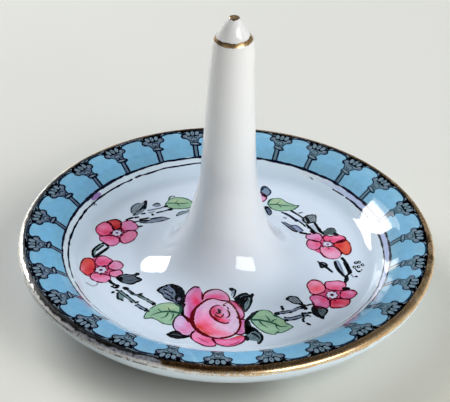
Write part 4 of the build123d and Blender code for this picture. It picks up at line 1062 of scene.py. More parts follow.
gar.hatch([(-13.94, -13.28), (-12.83, -12.98), (-11.88, -14.13), (-11.45, -15.95), (-12.67, -16.06), (-13.51, -14.89)], -40, 0.8, 0.12, F3, ware(150, 162, 184))
gar.fill([(-12.42, -12.30), (-11.05, -12.78), (-10.12, -13.48), (-9.40, -14.49), (-9.02, -15.60), (-9.00, -17.00), (-9.22, -18.53), (-9.90, -18.21), (-10.82, -17.55), (-11.21, -16.27), (-11.05, -15.10), (-11.44, -13.91), (-12.15, -13.10)], F3, BLACK, step=0.4)
gar.dot(-10.19, -16.73, 0.40, 0.48, 0, F3 + 0.004, ware(116, 108, 134))
gar.dot(-10.70, -17.75, 0.33, 0.32, 0, F3 + 0.004, ware(60, 76, 96))
g_([(-15.18, -13.93), (-14.63, -12.99), (-13.53, -12.49)], [0.48, 0.45, 0.30])
g_([(-13.93, -13.44), (-12.79, -13.72), (-11.61, -14.89)], 0.30)
g_([(-13.64, -14.56), (-12.48, -15.43), (-11.41, -16.74)], 0.27)
g_([(-9.25, -17.89), (-9.40, -19.55), (-9.34, -20.94), (-9.15, -22.14)], [0.78, 0.72, 0.60, 0.36])
gar.fill([(-12.21, -28.70), (-11.60, -28.01), (-10.76, -27.57), (-9.90, -27.60), (-9.22, -28.40), (-8.55, -29.04), (-7.26, -29.14), (-7.88, -29.50), (-8.73, -29.70), (-9.79, -29.92), (-10.88, -29.63), (-11.76, -29.18)], F0, ware(18, 20, 26), step=0.4)
gar.stroke([(-12.21, -28.70), (-11.60, -28.01), (-10.76, -27.57), (-9.90, -27.60), (-9.22, -28.40), (-8.55, -29.04), (-7.26, -29.14), (-7.88, -29.50), (-8.73, -29.70), (-9.79, -29.92), (-10.88, -29.63), (-11.76, -29.18)], 0.21, F2, BLACK, closed=True, rough=0.3)
g_([(-11.35, -28.66), (-10.28, -28.62), (-9.19, -29.06)], 0.15, c=ware(86, 94, 106), off=F3)
gar.fill([(0.95, -14.89), (1.28, -14.59), (1.95, -14.72), (2.30, -15.17), (2.09, -15.91), (1.53, -15.64), (1.19, -15.26)], F0, G2, step=0.4)
g_([(0.84, -14.80), (1.40, -14.95), (1.95, -14.82)], 0.42)
g_([(1.95, -14.82), (2.32, -15.17), (2.10, -16.02), (1.74, -16.72)], [0.24, 0.27, 0.27, 0.21])
g_([(1.53, -15.54), (1.50, -16.28)], 0.21, c=G1)
gar.fill([(2.12, -16.93), (2.66, -16.31), (3.54, -15.77), (4.65, -15.41), (5.54, -15.66), (6.21, -15.34), (5.89, -16.28), (5.86, -17.31), (5.47, -18.60), (4.82, -20.01), (4.38, -20.35), (4.04, -19.30), (3.36, -18.09), (2.46, -17.39)], F0, BLACK, step=0.4)
gar.fill([(4.45, -16.71), (5.33, -16.24), (5.69, -16.81), (5.46, -18.04), (4.81, -19.54), (4.44, -19.42), (4.36, -18.01)], F1, ware(118, 138, 146), step=0.4)
gar.fill([(3.33, -16.31), (4.21, -15.80), (5.10, -15.77), (4.44, -16.33), (3.67, -16.80)], F1, ware(84, 98, 106), step=0.4)
gar.hatch([(4.40, -16.72), (5.33, -16.24), (5.69, -16.81), (5.46, -18.04), (4.81, -19.54), (4.44, -19.42)], 70, 0.42, 0.12, F2, ware(30, 36, 44))
g_([(3.45, -16.94), (4.22, -16.26), (5.22, -16.01)], 0.33)
g_([(3.91, -18.05), (4.57, -17.20), (5.11, -16.27)], 0.39)
g_([(5.66, -16.07), (6.21, -15.39)], [0.42, 0.54])
gar.stroke([(2.12, -16.93), (2.66, -16.31), (3.54, -15.77), (4.65, -15.41), (5.54, -15.66), (6.21, -15.34), (5.89, -16.28), (5.86, -17.31), (5.47, -18.60), (4.82, -20.01), (4.38, -20.35), (4.04, -19.30), (3.36, -18.09), (2.46, -17.39)], 0.24, F2, BLACK, closed=True, rough=0.3)
g_([(4.68, -23.51), (5.48, -22.28), (6.47, -20.75), (7.57, -19.71)], [0.48, 0.72, 0.60, 0.27])
g_([(4.90, -23.23), (5.08, -24.75), (5.17, -26.43), (4.87, -27.95)], [0.60, 1.02, 1.08, 0.60])
gar.fill([(4.95, -25.43), (5.60, -25.24), (6.47, -25.87), (7.33, -26.84), (7.97, -27.81), (8.24, -29.12), (7.85, -30.29), (7.32, -30.81), (7.00, -30.17), (5.82, -29.89), (4.86, -29.77), (4.64, -28.46), (4.74, -26.79)], F0, ware(112, 134, 142), step=0.4)
gar.hatch([(4.95, -25.43), (5.60, -25.24), (6.47, -25.87), (7.33, -26.84), (7.97, -27.81), (8.24, -29.12), (7.85, -30.29), (7.32, -30.81), (7.00, -30.17), (5.82, -29.89), (4.86, -29.77), (4.64, -28.46), (4.74, -26.79)], 60, 0.44, 0.14, F1, ware(44, 54, 64))
gar.fill([(4.95, -25.43), (5.60, -25.27), (6.25, -25.88), (6.68, -26.70), (6.03, -27.06), (5.39, -27.59), (4.85, -27.95)], F2, BLACK, step=0.4)
g_([(5.60, -25.41), (6.68, -26.20), (7.54, -27.33)], [0.48, 0.54, 0.36])
g_([(5.82, -27.41), (6.89, -28.03), (7.75, -29.31)], [0.30, 0.42, 0.24])
g_([(4.53, -28.30), (4.96, -29.10), (5.07, -30.09)], [0.48, 0.66, 0.36])
g_([(7.33, -26.84), (7.97, -27.81), (8.24, -29.12), (7.85, -30.29), (7.21, -30.97)], [0.24, 0.39, 0.42, 0.36, 0.48])
# twigs on the left
tw([(-21.76, -13.72), (-20.53, -15.10), (-19.15, -15.65)], 0.48, 0.24, G1)
tw([(-19.27, -15.58), (-17.51, -16.93), (-15.40, -18.63)], 0.69, 0.27, GG)
g_([(-16.20, -18.25), (-15.17, -18.87)], [0.48, 0.36])
g_([(-19.51, -15.34), (-18.32, -14.82)], 0.39)
tw([(-23.73, -14.17), (-22.52, -15.37), (-21.30, -16.75), (-20.08, -18.11)], 0.69, 0.27, GG)
tw([(-19.60, -18.72), (-18.42, -19.79), (-17.03, -20.80)], 0.75, 0.27, G1)
g_([(-17.59, -20.62), (-16.46, -21.13)], [0.48, 0.42])
g_([(-20.00, -18.35), (-19.01, -17.71)], 0.42)
g_([(-24.02, -14.72), (-23.78, -16.79), (-23.04, -17.18), (-22.44, -17.75)], 0.36)
gar.fill([(-23.90, -14.90), (-22.96, -15.39), (-22.42, -16.62), (-22.80, -17.35), (-23.64, -16.67)], F0, GG, step=0.4)
g_([(-23.06, -12.80), (-22.24, -13.23), (-21.54, -13.64)], [0.42, 0.72, 0.42])
g_([(-26.37, -10.21), (-25.79, -11.17), (-24.81, -12.04), (-23.83, -13.02)], [0.66, 0.54, 0.39, 0.30])
g_([(-25.79, -12.45), (-24.96, -12.96), (-24.08, -12.74)], 0.36)
g_([(-25.38, -15.07), (-24.72, -14.36)], 0.45)
g_([(-24.55, -13.85), (-23.51, -14.23)], 0.36)
g_([(-24.38, -11.84), (-23.65, -12.54)], 0.30)
gar.fill([(-24.70, -9.46), (-23.98, -8.50), (-22.65, -8.07), (-21.05, -8.18), (-19.96, -7.50), (-19.80, -8.12), (-20.56, -8.71), (-19.25, -9.47), (-19.04, -9.94), (-19.96, -10.72), (-21.25, -11.51), (-22.62, -11.32), (-23.81, -10.53)], F0, ware(98, 110, 124), step=0.4)
gar.hatch([(-24.70, -9.46), (-23.98, -8.50), (-22.65, -8.07), (-21.05, -8.18), (-19.96, -7.50), (-19.80, -8.12), (-20.56, -8.71), (-19.25, -9.47), (-19.04, -9.94), (-19.96, -10.72), (-21.25, -11.51), (-22.62, -11.32), (-23.81, -10.53)], 12, 0.55, 0.15, F2, ware(26, 32, 42))
gar.fill([(-24.61, -9.64), (-23.95, -8.87), (-23.23, -9.40), (-23.35, -10.69), (-24.05, -10.36)], F2, BLACK, step=0.4)
gar.stroke([(-24.70, -9.46), (-23.98, -8.50), (-22.65, -8.07), (-21.05, -8.18), (-19.96, -7.50), (-19.80, -8.12), (-20.56, -8.71), (-19.25, -9.47), (-19.04, -9.94), (-19.96, -10.72), (-21.25, -11.51), (-22.62, -11.32), (-23.81, -10.53)], 0.27, F2, BLACK, closed=True, rough=0.3)
g_([(-20.63, -7.71), (-19.85, -7.75)], 0.54)
g_([(-20.30, -9.07), (-19.11, -9.94), (-20.18, -10.73)], 0.36)
gar.fill([(-31.10, 0.12), (-30.65, 1.52), (-29.43, 3.35), (-28.71, 3.19), (-30.13, 0.95), (-30.35, -1.59), (-30.85, -1.23)], F0, GG, step=0.4)
g_([(-31.13, -0.07), (-30.77, 1.51), (-29.44, 3.51)], 0.36)
g_([(-31.08, 0.12), (-30.78, -1.42), (-30.29, -2.17)], 0.39)
g_([(-30.43, -1.98), (-29.31, -0.38), (-28.27, 1.04), (-27.45, 2.26)], [0.48, 0.66, 0.60, 0.48])
g_([(-29.45, 3.63), (-28.50, 3.52), (-27.46, 2.34)], 0.39)
g_([(-30.33, 0.55), (-28.69, 2.99)], 0.33)
g_([(-31.51, -11.49), (-30.65, -12.21), (-29.71, -12.63), (-28.96, -12.23), (-28.71, -11.31)], 0.27, c=ware(150, 160, 172))
# back left
gar.fill([(-23.26, 16.39), (-23.40, 18.30), (-22.91, 19.84), (-21.98, 20.53), (-21.03, 21.01), (-20.32, 21.49), (-19.91, 20.85), (-19.89, 18.69), (-20.50, 16.95), (-21.40, 15.85), (-22.32, 15.17)], F0, ware(132, 146, 158), step=0.4)
gar.hatch([(-23.26, 16.39), (-23.40, 18.30), (-22.91, 19.84), (-21.98, 20.53), (-21.03, 21.01), (-20.32, 21.49), (-19.91, 20.85), (-19.89, 18.69), (-20.50, 16.95), (-21.40, 15.85), (-22.32, 15.17)], 65, 0.55, 0.14, F2, ware(84, 96, 108))
gar.fill([(-20.58, 21.60), (-19.86, 21.86), (-19.73, 20.00), (-19.86, 18.27), (-20.59, 18.23), (-21.02, 19.07), (-20.48, 20.17)], F2, ware(26, 30, 38), step=0.4)
g_([(-23.26, 16.39), (-23.42, 18.52), (-22.68, 20.06), (-21.50, 20.77)], 0.27, c=ware(60, 72, 82))
g_([(-22.19, 16.74), (-21.52, 17.54), (-20.41, 19.10)], 0.36)
g_([(-20.92, 16.00), (-19.74, 16.48)], 0.45, c=ware(40, 50, 66))
g_([(-22.50, 14.40), (-21.20, 14.80)], 0.45)
g_([(-22.80, 15.14), (-22.17, 16.44)], 0.30)
gar.fill([(-18.50, 19.80), (-18.05, 20.51), (-17.34, 20.98), (-16.58, 20.59), (-16.30, 19.91), (-17.25, 19.43)], F0, G2, step=0.4)
g_([(-18.27, 20.15), (-17.33, 20.85), (-16.57, 20.46)], 0.30)
g_([(-18.50, 19.80), (-17.25, 19.43), (-16.30, 19.91)], 0.18, c=G1)
g_([(-19.57, 17.51), (-18.14, 18.09), (-16.48, 18.78), (-15.53, 19.34)], 0.27, c=ware(60, 72, 90))
g_([(-15.65, 19.34), (-14.58, 19.82)], [0.42, 0.60])
g_([(-17.33, 16.68), (-15.91, 17.35), (-14.48, 18.02)], 0.36, c=ware(40, 50, 60))
g_([(-14.72, 17.96), (-13.30, 18.68)], [0.42, 0.66])
g_([(-18.35, 15.57), (-17.78, 16.11)], 0.45)
g_([(-19.26, 16.59), (-17.61, 17.31)], 0.24, c=G1)
gar.fill([(-20.92, 12.51), (-19.51, 13.00), (-18.60, 13.75), (-16.96, 14.59), (-15.54, 15.08), (-14.54, 14.57), (-13.80, 14.33), (-14.74, 13.74), (-16.15, 13.22), (-17.56, 12.67), (-19.23, 12.38)], F0, ware(128, 140, 160), step=0.4)
gar.stroke([(-20.92, 12.51), (-19.51, 13.00), (-18.60, 13.75), (-16.96, 14.59), (-15.54, 15.08), (-14.54, 14.57), (-13.80, 14.33), (-14.74, 13.74), (-16.15, 13.22), (-17.56, 12.67), (-19.23, 12.38)], 0.22, F2, ware(44, 54, 70), closed=True, rough=0.3)
g_([(-22.71, 12.34), (-20.96, 13.13), (-18.58, 13.54)], 0.36)
g_([(-18.61, 14.00), (-16.72, 14.68), (-15.53, 14.99)], 0.36, c=ware(30, 38, 56))
g_([(-21.25, 13.71), (-19.83, 14.11), (-18.77, 14.58)], 0.39)
g_([(-21.39, 10.71), (-20.10, 11.10)], [0.54, 0.42], c=ware(40, 60, 58))
g_([(-24.47, 13.25), (-23.44, 14.06), (-22.51, 14.52)], 0.45)
gar.fill([(-12.29, 15.47), (-11.98, 16.68), (-11.05, 17.60), (-9.96, 17.83), (-9.26, 18.54), (-8.7, 18.0), (-10.04, 16.81), (-11.46, 15.90)], F0, ware(126, 146, 158), step=0.4)
gar.stroke([(-12.29, 15.47), (-11.98, 16.68), (-11.05, 17.60), (-9.96, 17.83), (-9.26, 18.54), (-8.7, 18.0), (-10.04, 16.81), (-11.46, 15.90)], 0.21, F2, ware(50, 64, 74), closed=True, rough=0.3)
# back right
gar.fill([(8.24, 27.56), (8.45, 29.15), (9.00, 29.85), (9.75, 29.21), (10.49, 27.90), (10.60, 26.79), (9.97, 25.65), (8.97, 25.37), (8.48, 26.01)], F0, ware(118, 138, 164), step=0.4)
gar.stroke([(8.24, 27.56), (8.45, 29.15), (9.00, 29.85), (9.75, 29.21), (10.49, 27.90), (10.60, 26.79), (9.97, 25.65), (8.97, 25.37), (8.48, 26.01)], 0.24, F2, ware(50, 62, 78), closed=True, rough=0.3)
g_([(8.49, 27.80), (8.75, 29.16), (9.75, 29.12)], 0.42, c=ware(40, 52, 66))
g_([(8.73, 25.81), (9.59, 24.74)], 0.36)
gar.fill([(9.19, 20.79), (9.80, 20.60), (10.28, 19.76), (10.76, 18.50), (10.49, 17.08), (10.00, 16.99), (9.66, 18.41), (9.37, 19.50)], F0, ware(84, 98, 124), step=0.4)
gar.stroke([(9.19, 20.79), (9.80, 20.60), (10.28, 19.76), (10.76, 18.50), (10.49, 17.08), (10.00, 16.99), (9.66, 18.41), (9.37, 19.50)], 0.21, F2, BLACK, closed=True, rough=0.3)
g_([(9.31, 20.58), (10.04, 20.10)], 0.57)
g_([(13.08, 18.53), (14.04, 18.02), (15.24, 17.02), (16.18, 15.80), (17.12, 14.79)], [0.30, 0.48, 0.42, 0.54, 0.66], c=ware(22, 28, 48))
g_([(17.13, 15.00), (18.06, 14.00), (18.98, 12.59)], 0.33)
g_([(15.42, 19.46), (16.25, 18.56), (17.44, 17.34), (18.61, 15.92)], [0.60, 0.39, 0.33, 0.33])
g_([(17.22, 18.27), (18.45, 18.67)], 0.27)
gar.fill([(13.79, 17.59), (15.48, 17.03), (17.15, 15.85), (18.35, 15.48), (18.80, 14.25), (17.61, 14.82), (15.93, 15.66), (14.51, 16.98)], F0 - 0.003, ware(168, 182, 206), step=0.4)
gar.fill([(18.35, 15.48), (18.63, 16.55), (19.63, 17.45), (20.61, 17.71), (21.46, 17.54), (21.52, 16.06), (21.47, 14.80), (20.50, 14.54), (19.51, 14.07), (18.80, 14.46)], F0, ware(132, 144, 152), step=0.4)
gar.hatch([(18.35, 15.48), (18.63, 16.55), (19.63, 17.45), (20.61, 17.71), (21.46, 17.54), (21.52, 16.06), (21.47, 14.80), (20.50, 14.54), (19.51, 14.07), (18.80, 14.46)], 60, 0.5, 0.15, F2, ware(70, 82, 90))
gar.stroke([(18.35, 15.48), (18.63, 16.55), (19.63, 17.45), (20.61, 17.71), (21.46, 17.54), (21.52, 16.06), (21.47, 14.80), (20.50, 14.54), (19.51, 14.07), (18.80, 14.46)], 0.24, F2, BLACK, closed=True, rough=0.3)
g_([(19.00, 16.78), (19.56, 15.33), (19.63, 13.87)], [0.48, 0.60, 0.48])
g_([(19.02, 13.84), (19.70, 12.63), (20.38, 11.42), (21.16, 9.90)], [0.36, 0.54, 0.54, 0.60])
g_([(20.99, 14.77), (21.42, 13.54), (21.86, 12.32), (22.41, 11.32)], [0.36, 0.48, 0.54, 0.60])
g_([(19.21, 12.19), (19.94, 12.43)], 0.57)
gar.fill([(19.96, 13.06), (21.19, 13.74), (22.07, 11.71), (21.30, 10.44)], F0 - 0.003, ware(168, 182, 200), step=0.4)
gar.fill([(12.99, 14.14), (13.72, 14.23), (14.91, 13.29), (15.87, 13.00), (16.83, 12.90), (17.52, 11.89), (18.21, 10.90), (17.47, 10.15), (16.51, 10.38), (15.33, 11.20), (14.15, 12.31)], F0, ware(134, 146, 176), step=0.4)
g_([(13.06, 14.16), (14.39, 12.25), (15.56, 10.79), (16.51, 10.23)], [0.21, 0.30, 0.39, 0.48])
g_([(13.72, 14.23), (15.14, 13.01), (16.59, 13.05), (17.53, 12.10), (18.32, 10.78)], 0.27, c=ware(40, 50, 76))
g_([(16.11, 10.58), (16.99, 10.36)], [0.60, 0.72])
g_([(17.23, 10.23), (18.65, 9.85), (20.08, 9.56)], [0.66, 0.54, 0.36])
g_([(15.24, 12.17), (16.41, 11.14)], [0.27, 0.42])
g_([(14.64, 12.48), (15.85, 12.31)], 0.24)
g_([(13.52, 16.38), (14.48, 15.88)], 0.42, c=ware(126, 136, 156))
gar.fill([(22.74, 10.51), (23.75, 11.79), (24.99, 12.47), (25.93, 12.10), (26.22, 10.88), (25.32, 9.61), (24.13, 9.64), (23.15, 9.10)], F0, ware(98, 114, 116), step=0.4)
gar.hatch([(22.74, 10.51), (23.75, 11.79), (24.99, 12.47), (25.93, 12.10), (26.22, 10.88), (25.32, 9.61), (24.13, 9.64), (23.15, 9.10)], 50, 0.42, 0.16, F2, ware(40, 50, 54))
g_([(25.61, 10.65), (26.38, 9.26)], [0.72, 0.78])
g_([(21.62, 12.52), (22.40, 10.90), (23.18, 9.71)], [0.42, 0.57, 0.42])
g_([(19.89, 11.19), (20.91, 9.69)], 0.45)
g_([(23.75, 11.79), (24.99, 12.47), (25.93, 12.10)], 0.24)
g_([(17.47, 10.37), (18.76, 9.48)], 0.30)
# between the blossoms on the right
gar.fill([(25.27, -0.70), (25.98, -0.47), (26.75, -3.31), (27.30, -5.93), (26.42, -5.22), (25.72, -3.36)], F0, ware(150, 162, 190), step=0.4)
g_([(25.23, -0.70), (25.42, -2.42), (25.91, -4.11), (26.63, -5.59), (27.21, -6.61)], [0.48, 0.57, 0.60, 0.60, 0.42])
g_([(25.98, -0.59), (26.45, -2.56), (26.91, -4.63)], 0.24, c=G1)
gar.fill([(26.85, 0.54), (27.42, 0.37), (28.44, -2.09), (28.98, -4.53), (28.24, -5.51), (27.51, -2.13)], F0, ware(150, 162, 190), step=0.4)
g_([(26.82, 0.81), (27.38, -0.33), (27.93, -1.73), (28.21, -3.24), (28.81, -4.73)], [0.60, 0.54, 0.54, 0.60, 0.42])
g_([(27.18, -0.99), (28.00, -3.63), (28.37, -5.62)], [0.27, 0.45, 0.45])
g_([(27.08, -6.99), (27.99, -5.78), (28.98, -4.65)], 0.36)
g_([(27.78, -6.21), (27.49, -7.79), (27.03, -8.99)], [0.42, 0.66, 0.42])
g_([(30.40, -1.15), (30.29, -1.42), (30.06, -1.55), (29.84, -1.47), (29.75, -1.22), (29.83, -0.94), (30.05, -0.79), (30.28, -0.84), (30.40, -1.08)], 0.22)
g_([(31.20, -0.88), (31.09, -1.15), (30.87, -1.28), (30.64, -1.20), (30.55, -0.95), (30.64, -0.67), (30.86, -0.52), (31.09, -0.57), (31.20, -0.81)], 0.22)
g_([(29.99, -2.85), (29.88, -3.12), (29.65, -3.25), (29.43, -3.17), (29.34, -2.92), (29.42, -2.64), (29.64, -2.49), (29.87, -2.55), (29.99, -2.79)], 0.22)
g_([(30.95, -2.66), (30.84, -2.93), (30.61, -3.05), (30.39, -2.97), (30.30, -2.72), (30.38, -2.45), (30.60, -2.30), (30.83, -2.35), (30.94, -2.59)], 0.22)
g_([(31.92, -1.92), (31.81, -2.19), (31.58, -2.32), (31.36, -2.24), (31.27, -1.99), (31.36, -1.71), (31.58, -1.56), (31.81, -1.62), (31.92, -1.85)], 0.22)
gar.dot(30.69, -4.45, 0.33, 0.36, 0, F2, BLACK)
gar.dot(29.85, -6.41, 0.40, 0.32, 0, F2, BLACK)
gar.dot(31.21, -3.86, 0.23, 0.24, 0, F2, BLACK)
g_([(28.58, -5.49), (29.29, -6.88)], 0.21, c=G1)
g_([(29.75, -3.36), (30.46, -4.84)], 0.24)
gar.fill([(21.31, -1.08), (22.67, -1.78), (23.52, -3.46), (22.60, -3.43), (21.82, -2.78)], F0 - 0.003, ware(150, 162, 180), step=0.4)
g_([(21.09, -0.91), (21.76, -1.63), (22.64, -2.63), (23.51, -3.73), (24.59, -5.19)], [0.24, 0.36, 0.57, 0.45, 0.36])
g_([(21.61, -1.26), (21.98, -3.34), (22.74, -2.85)], 0.39)
g_([(21.84, -1.36), (22.91, -1.66), (23.44, -2.78)], 0.33)
g_([(26.32, -11.15), (27.23, -11.00), (28.20, -11.06)], [0.66, 0.84, 0.66])
# twigs at the front right
tw([(11.19, -20.72), (12.41, -20.24), (13.73, -19.91), (15.07, -19.33), (16.19, -18.58), (17.32, -17.89)], 0.69, 0.27, ware(122, 136, 158))
g_([(10.82, -20.80), (12.18, -20.53)], [0.60, 0.66])
g_([(12.93, -19.49), (12.70, -18.38)], [0.36, 0.54])
gar.dot(12.62, -18.14, 0.38, 0.36, 0, F2, BLACK)
tw([(13.03, -22.29), (14.34, -22.30), (15.66, -21.83), (17.00, -21.15), (18.34, -20.33)], 0.90, 0.27, ware(118, 132, 156))
g_([(13.02, -22.70), (14.00, -22.86)], [0.48, 0.60])
g_([(12.99, -21.67), (13.47, -21.99)], 0.42)
g_([(16.76, -17.95), (17.99, -17.72)], 0.54)
g_([(17.67, -17.98), (18.05, -19.02)], 0.66)
g_([(17.99, -17.62), (18.89, -17.08), (19.90, -16.83)], 0.36)
g_([(17.25, -19.85), (17.12, -20.80), (17.42, -21.47)], 0.51)
g_([(18.13, -20.13), (19.24, -19.83)], 0.48)
g_([(17.55, -21.57), (17.17, -22.51), (17.50, -23.35)], 0.39)
g_([(17.75, -23.44), (18.43, -23.92), (18.90, -24.21)], [0.30, 0.45, 0.30])
g_([(18.44, -20.74), (18.96, -21.40)], 0.27)
gar.fill([(13.71, -15.54), (14.29, -14.65), (15.19, -14.39), (16.08, -14.69), (16.71, -15.73), (17.13, -16.77), (16.23, -16.99), (15.13, -16.69), (14.37, -16.01)], F0, ware(136, 148, 160), step=0.4)
gar.hatch([(13.71, -15.54), (14.29, -14.65), (15.19, -14.39), (16.08, -14.69), (16.71, -15.73), (17.13, -16.77), (16.23, -16.99), (15.13, -16.69), (14.37, -16.01)], 55, 0.42, 0.15, F2, ware(58, 66, 76))
gar.stroke([(13.71, -15.54), (14.29, -14.65), (15.19, -14.39), (16.08, -14.69), (16.71, -15.73), (17.13, -16.77), (16.23, -16.99), (15.13, -16.69), (14.37, -16.01)], 0.24, F2, BLACK, closed=True, rough=0.3)
g_([(13.71, -15.61), (14.17, -14.83)], 0.48)
g_([(16.24, -16.92), (17.34, -17.22), (17.99, -17.51)], 0.39)
gar.fill([(19.28, -18.61), (19.65, -17.72), (20.64, -17.67), (21.74, -17.98), (22.59, -18.64), (22.55, -19.69), (21.83, -20.93), (21.67, -21.97), (20.93, -21.49), (19.86, -20.85), (19.35, -19.83)], F0, ware(20, 24, 30), step=0.4)
gar.fill([(20.73, -18.37), (21.72, -18.43), (22.36, -19.00), (22.09, -20.05), (21.50, -20.94), (20.88, -20.11)], F1, ware(92, 108, 112), step=0.4)
gar.hatch([(20.73, -18.37), (21.72, -18.43), (22.36, -19.00), (22.09, -20.05), (21.50, -20.94), (20.88, -20.11)], 60, 0.44, 0.16, F2, ware(30, 36, 42))
gar.stroke([(19.28, -18.61), (19.65, -17.72), (20.64, -17.67), (21.74, -17.98), (22.59, -18.64), (22.55, -19.69), (21.83, -20.93), (21.67, -21.97), (20.93, -21.49), (19.86, -20.85), (19.35, -19.83)], 0.21, F2, BLACK, closed=True, rough=0.3)
# curl beside the left blossoms
g_([(-24.6 + 0.62 * math.cos(t), -12.6 + 0.62 * math.sin(t)) for t in np.linspace(0.4, 6.2, 12)], 0.24)
g_([(-18.4, 16.4), (-18.0, 15.9)], 0.36)


# ---- gold on the rim: a thin uneven band over the lip
def strip_table():
    P = np.concatenate([p for p, _ in TOP[5:]])
    T = np.concatenate([t for _, t in TOP[5:]])
    keep = np.r_[True, np.hypot(*np.diff(P, axis=0).T) > 1e-6]
    P, T = P[keep], T[keep]
    s = np.r_[0, np.cumsum(np.hypot(*np.diff(P, axis=0).T))]
    return P, T, s


GP, GT, GS = strip_table()
S_IN = np.interp(46.0, GP[:, 0], GS)
S_LIP = np.interp(math.radians(96 - 14) * LIP_RHO + np.interp(lip_start[0], GP[:, 0], GS), GS, GS)


def wave(a, scales, seed):
    g = np.random.default_rng(seed)
    v = np.zeros_like(a)
    for k, amp in scales:
        n = int(360 / k)
        y = g.normal(size=n)
        v += amp * np.interp(a, np.arange(n + 1) * 360 / n - 180, np.r_[y, y[:1]])
    return v


def bump_at(a, c, w):
    return np.exp(-((a - c) / w) ** 2)


NA, NR = 2400, 20
ga = np.linspace(-180, 180, NA, endpoint=False)
worn = np.clip(1.10 * np.exp(-((ga + 37) / 21) ** 4) + 0.16 * bump_at(ga, -2, 12) + wave(ga, [(9, 0.07), (3, 0.05)], 11) * np.exp(-((ga + 30) / 45) ** 2), 0, 1)
bare_left = np.exp(-((ga + 104) / 38) ** 4)
s0 = S_IN + wave(ga, [(6, 0.05), (1.6, 0.04), (0.8, 0.03)], 12) - 0.06
low = np.exp(-((ga + 55) / 21) ** 4)
s1 = S_LIP + wave(ga, [(20, 0.06), (4, 0.05), (1.4, 0.04)], 13) + 0.22 + 0.95 * low
u = np.linspace(0, 1, NR)[:, None]
S = s0[None] * (1 - u) + s1[None] * u
rr, zz = np.interp(S, GS, GP[:, 0]), np.interp(S, GS, GP[:, 1])
tr, tz = np.interp(S, GS, GT[:, 0]), np.interp(S, GS, GT[:, 1])
k = np.hypot(tr, tz)
nr_, nz_ = -tz / k, tr / k
off = 0.042
ca, sa = np.sin(np.radians(ga))[None], -np.cos(np.radians(ga))[None]
G = np.stack([(rr + off * nr_) * ca, (rr + off * nr_) * sa, zz + off * nz_], -1).reshape(-1, 3)
GN = np.stack([nr_ * ca, nr_ * sa, nz_ + 0 * ca], -1).reshape(-1, 3)


def grain(seed, ka, kr):
    """Smooth noise over the band: ka cells round the rim, kr across it."""
    g = np.random.default_rng(seed).normal(size=(kr + 1, ka))
    g = np.concatenate([g, g[:, :1]], 1)
    x, y = np.linspace(0, ka, NA, endpoint=False), np.linspace(0, kr, NR)
    xi, yi = np.minimum(x.astype(int), ka - 1), np.minimum(y.astype(int), kr - 1)
    fx, fy = (x - xi)[None], (y - yi)[:, None]
    return ((g[yi][:, xi] * (1 - fx) + g[yi][:, xi + 1] * fx) * (1 - fy) + (g[yi + 1][:, xi] * (1 - fx) + g[yi + 1][:, xi + 1] * fx) * fy)


speck = 0.6 * grain(41, 500, 5) + 0.4 * grain(42, 1200, 9)
right = bump_at(ga, 88, 36)[None]
front = bump_at(ga, 10, 60)[None]
# the inner half is painted dark, a painted reflection of dark surroundings mixed with real tarnish mottling; clean gold
# over the lip
edge = 0.55 - 0.14 * right - 0.10 * bump_at(ga, 180, 90)[None]
tarnish_and_painted_reflection = np.clip(1.0 / (1 + np.exp((u - edge) / 0.045)) * (1.0 - 0.45 * right) + 0.20 * speck * (0.35 + right) + 0.08 * grain(43, 160, 3), 0, 1)
# worn thin at the front left, silvery on the left, and cream at the back left
left = bare_left[None]
wear = 0.04 + 0.80 * left + 0.36 * bump_at(ga, -165, 26)[None] * (0.4 + 0.6 * u) + 0.40 * front * np.clip((u - 0.60) / 0.2, 0, 1)
wear = np.clip(wear + 0.9 * low[None] + worn[None] * np.clip(0.50 + 1.4 * u, 0, 1) + 0.04 * speck, 0, 1)
low = low[None]
side = bump_at(ga, 90, 34)[None]
tarnish_and_painted_reflection = np.clip(tarnish_and_painted_reflection * (1 - 0.75 * side) + side * (0.20 + 0.50 * grain(48, 150, 2) + 0.35 * speck) * np.clip((0.80 - u) / 0.15, 0, 1) + 0.5 * side * np.exp(-(u / 0.10) ** 2), 0, 1)
tarnish_and_painted_reflection = np.clip(tarnish_and_painted_reflection * (1 - 0.9 * left) * (1 - 0.6 * bump_at(ga, 180, 30)[None]) + worn[None] * 0.42 + low * 0.30 / (1 + np.exp((0.55 - u) / 0.05)), 0, 1)
# painted highlight: less dark at the front right, where the gold mirrors the right-hand light
tarnish_and_painted_reflection = tarnish_and_painted_reflection * (1 - 0.50 * bump_at(ga, 52, 30)[None])
fleck = np.clip((0.9 * grain(44, 520, 6) + 0.6 * grain(45, 1000, 9) - 0.75) * 1.6, 0, 0.8) * worn[None]
# the dark print reaches over the lip on the left: a grey ribbon between black edges
reach = np.interp(ga, [-150, -138, -122, -104, -92, -80, -66, -54, -48, -40, -33, -25, -16, -6], [0, 0.15, 0.28, 0.33, 0.32, 0.21, 0.26, 0.38, 0.41, 0.38, 0.42, 0.36, 0.15, 0])
reach = (reach + wave(ga, [(5, 0.03), (1.5, 0.03), (0.7, 0.02)], 14) * np.minimum(1, 4 * reach))[None]
cc = np.array(sorted(COLUMNS), float)
ph = np.interp(ga, np.r_[cc[-1] - 360, cc, cc[0] + 360], np.arange(len(cc) + 2.0)) % 1.0
rib = np.exp(-((u - 0.42 * reach - 0.05 * np.sin(np.pi * ph)[None] ** 2) / 0.085) ** 4) * (np.sin(np.pi * ph) ** 0.4)[None]
scroll = np.exp(-((u - reach * (0.36 + 0.24 * np.sin(2 * np.pi * ph)[None])) / 0.05) ** 2)
solid = 0.99 - 0.17 * rib * np.exp(-((ga + 104) / 32) ** 4)[None] - 0.15 * scroll * np.exp(-((ga + 48) / 24) ** 4)[None] + 0.02 * grain(46, 300, 4)
fleck = np.clip(fleck + solid / (1 + np.exp((u - reach) / 0.016)) * np.minimum(1, 8 * reach.clip(0)), 0, 1)
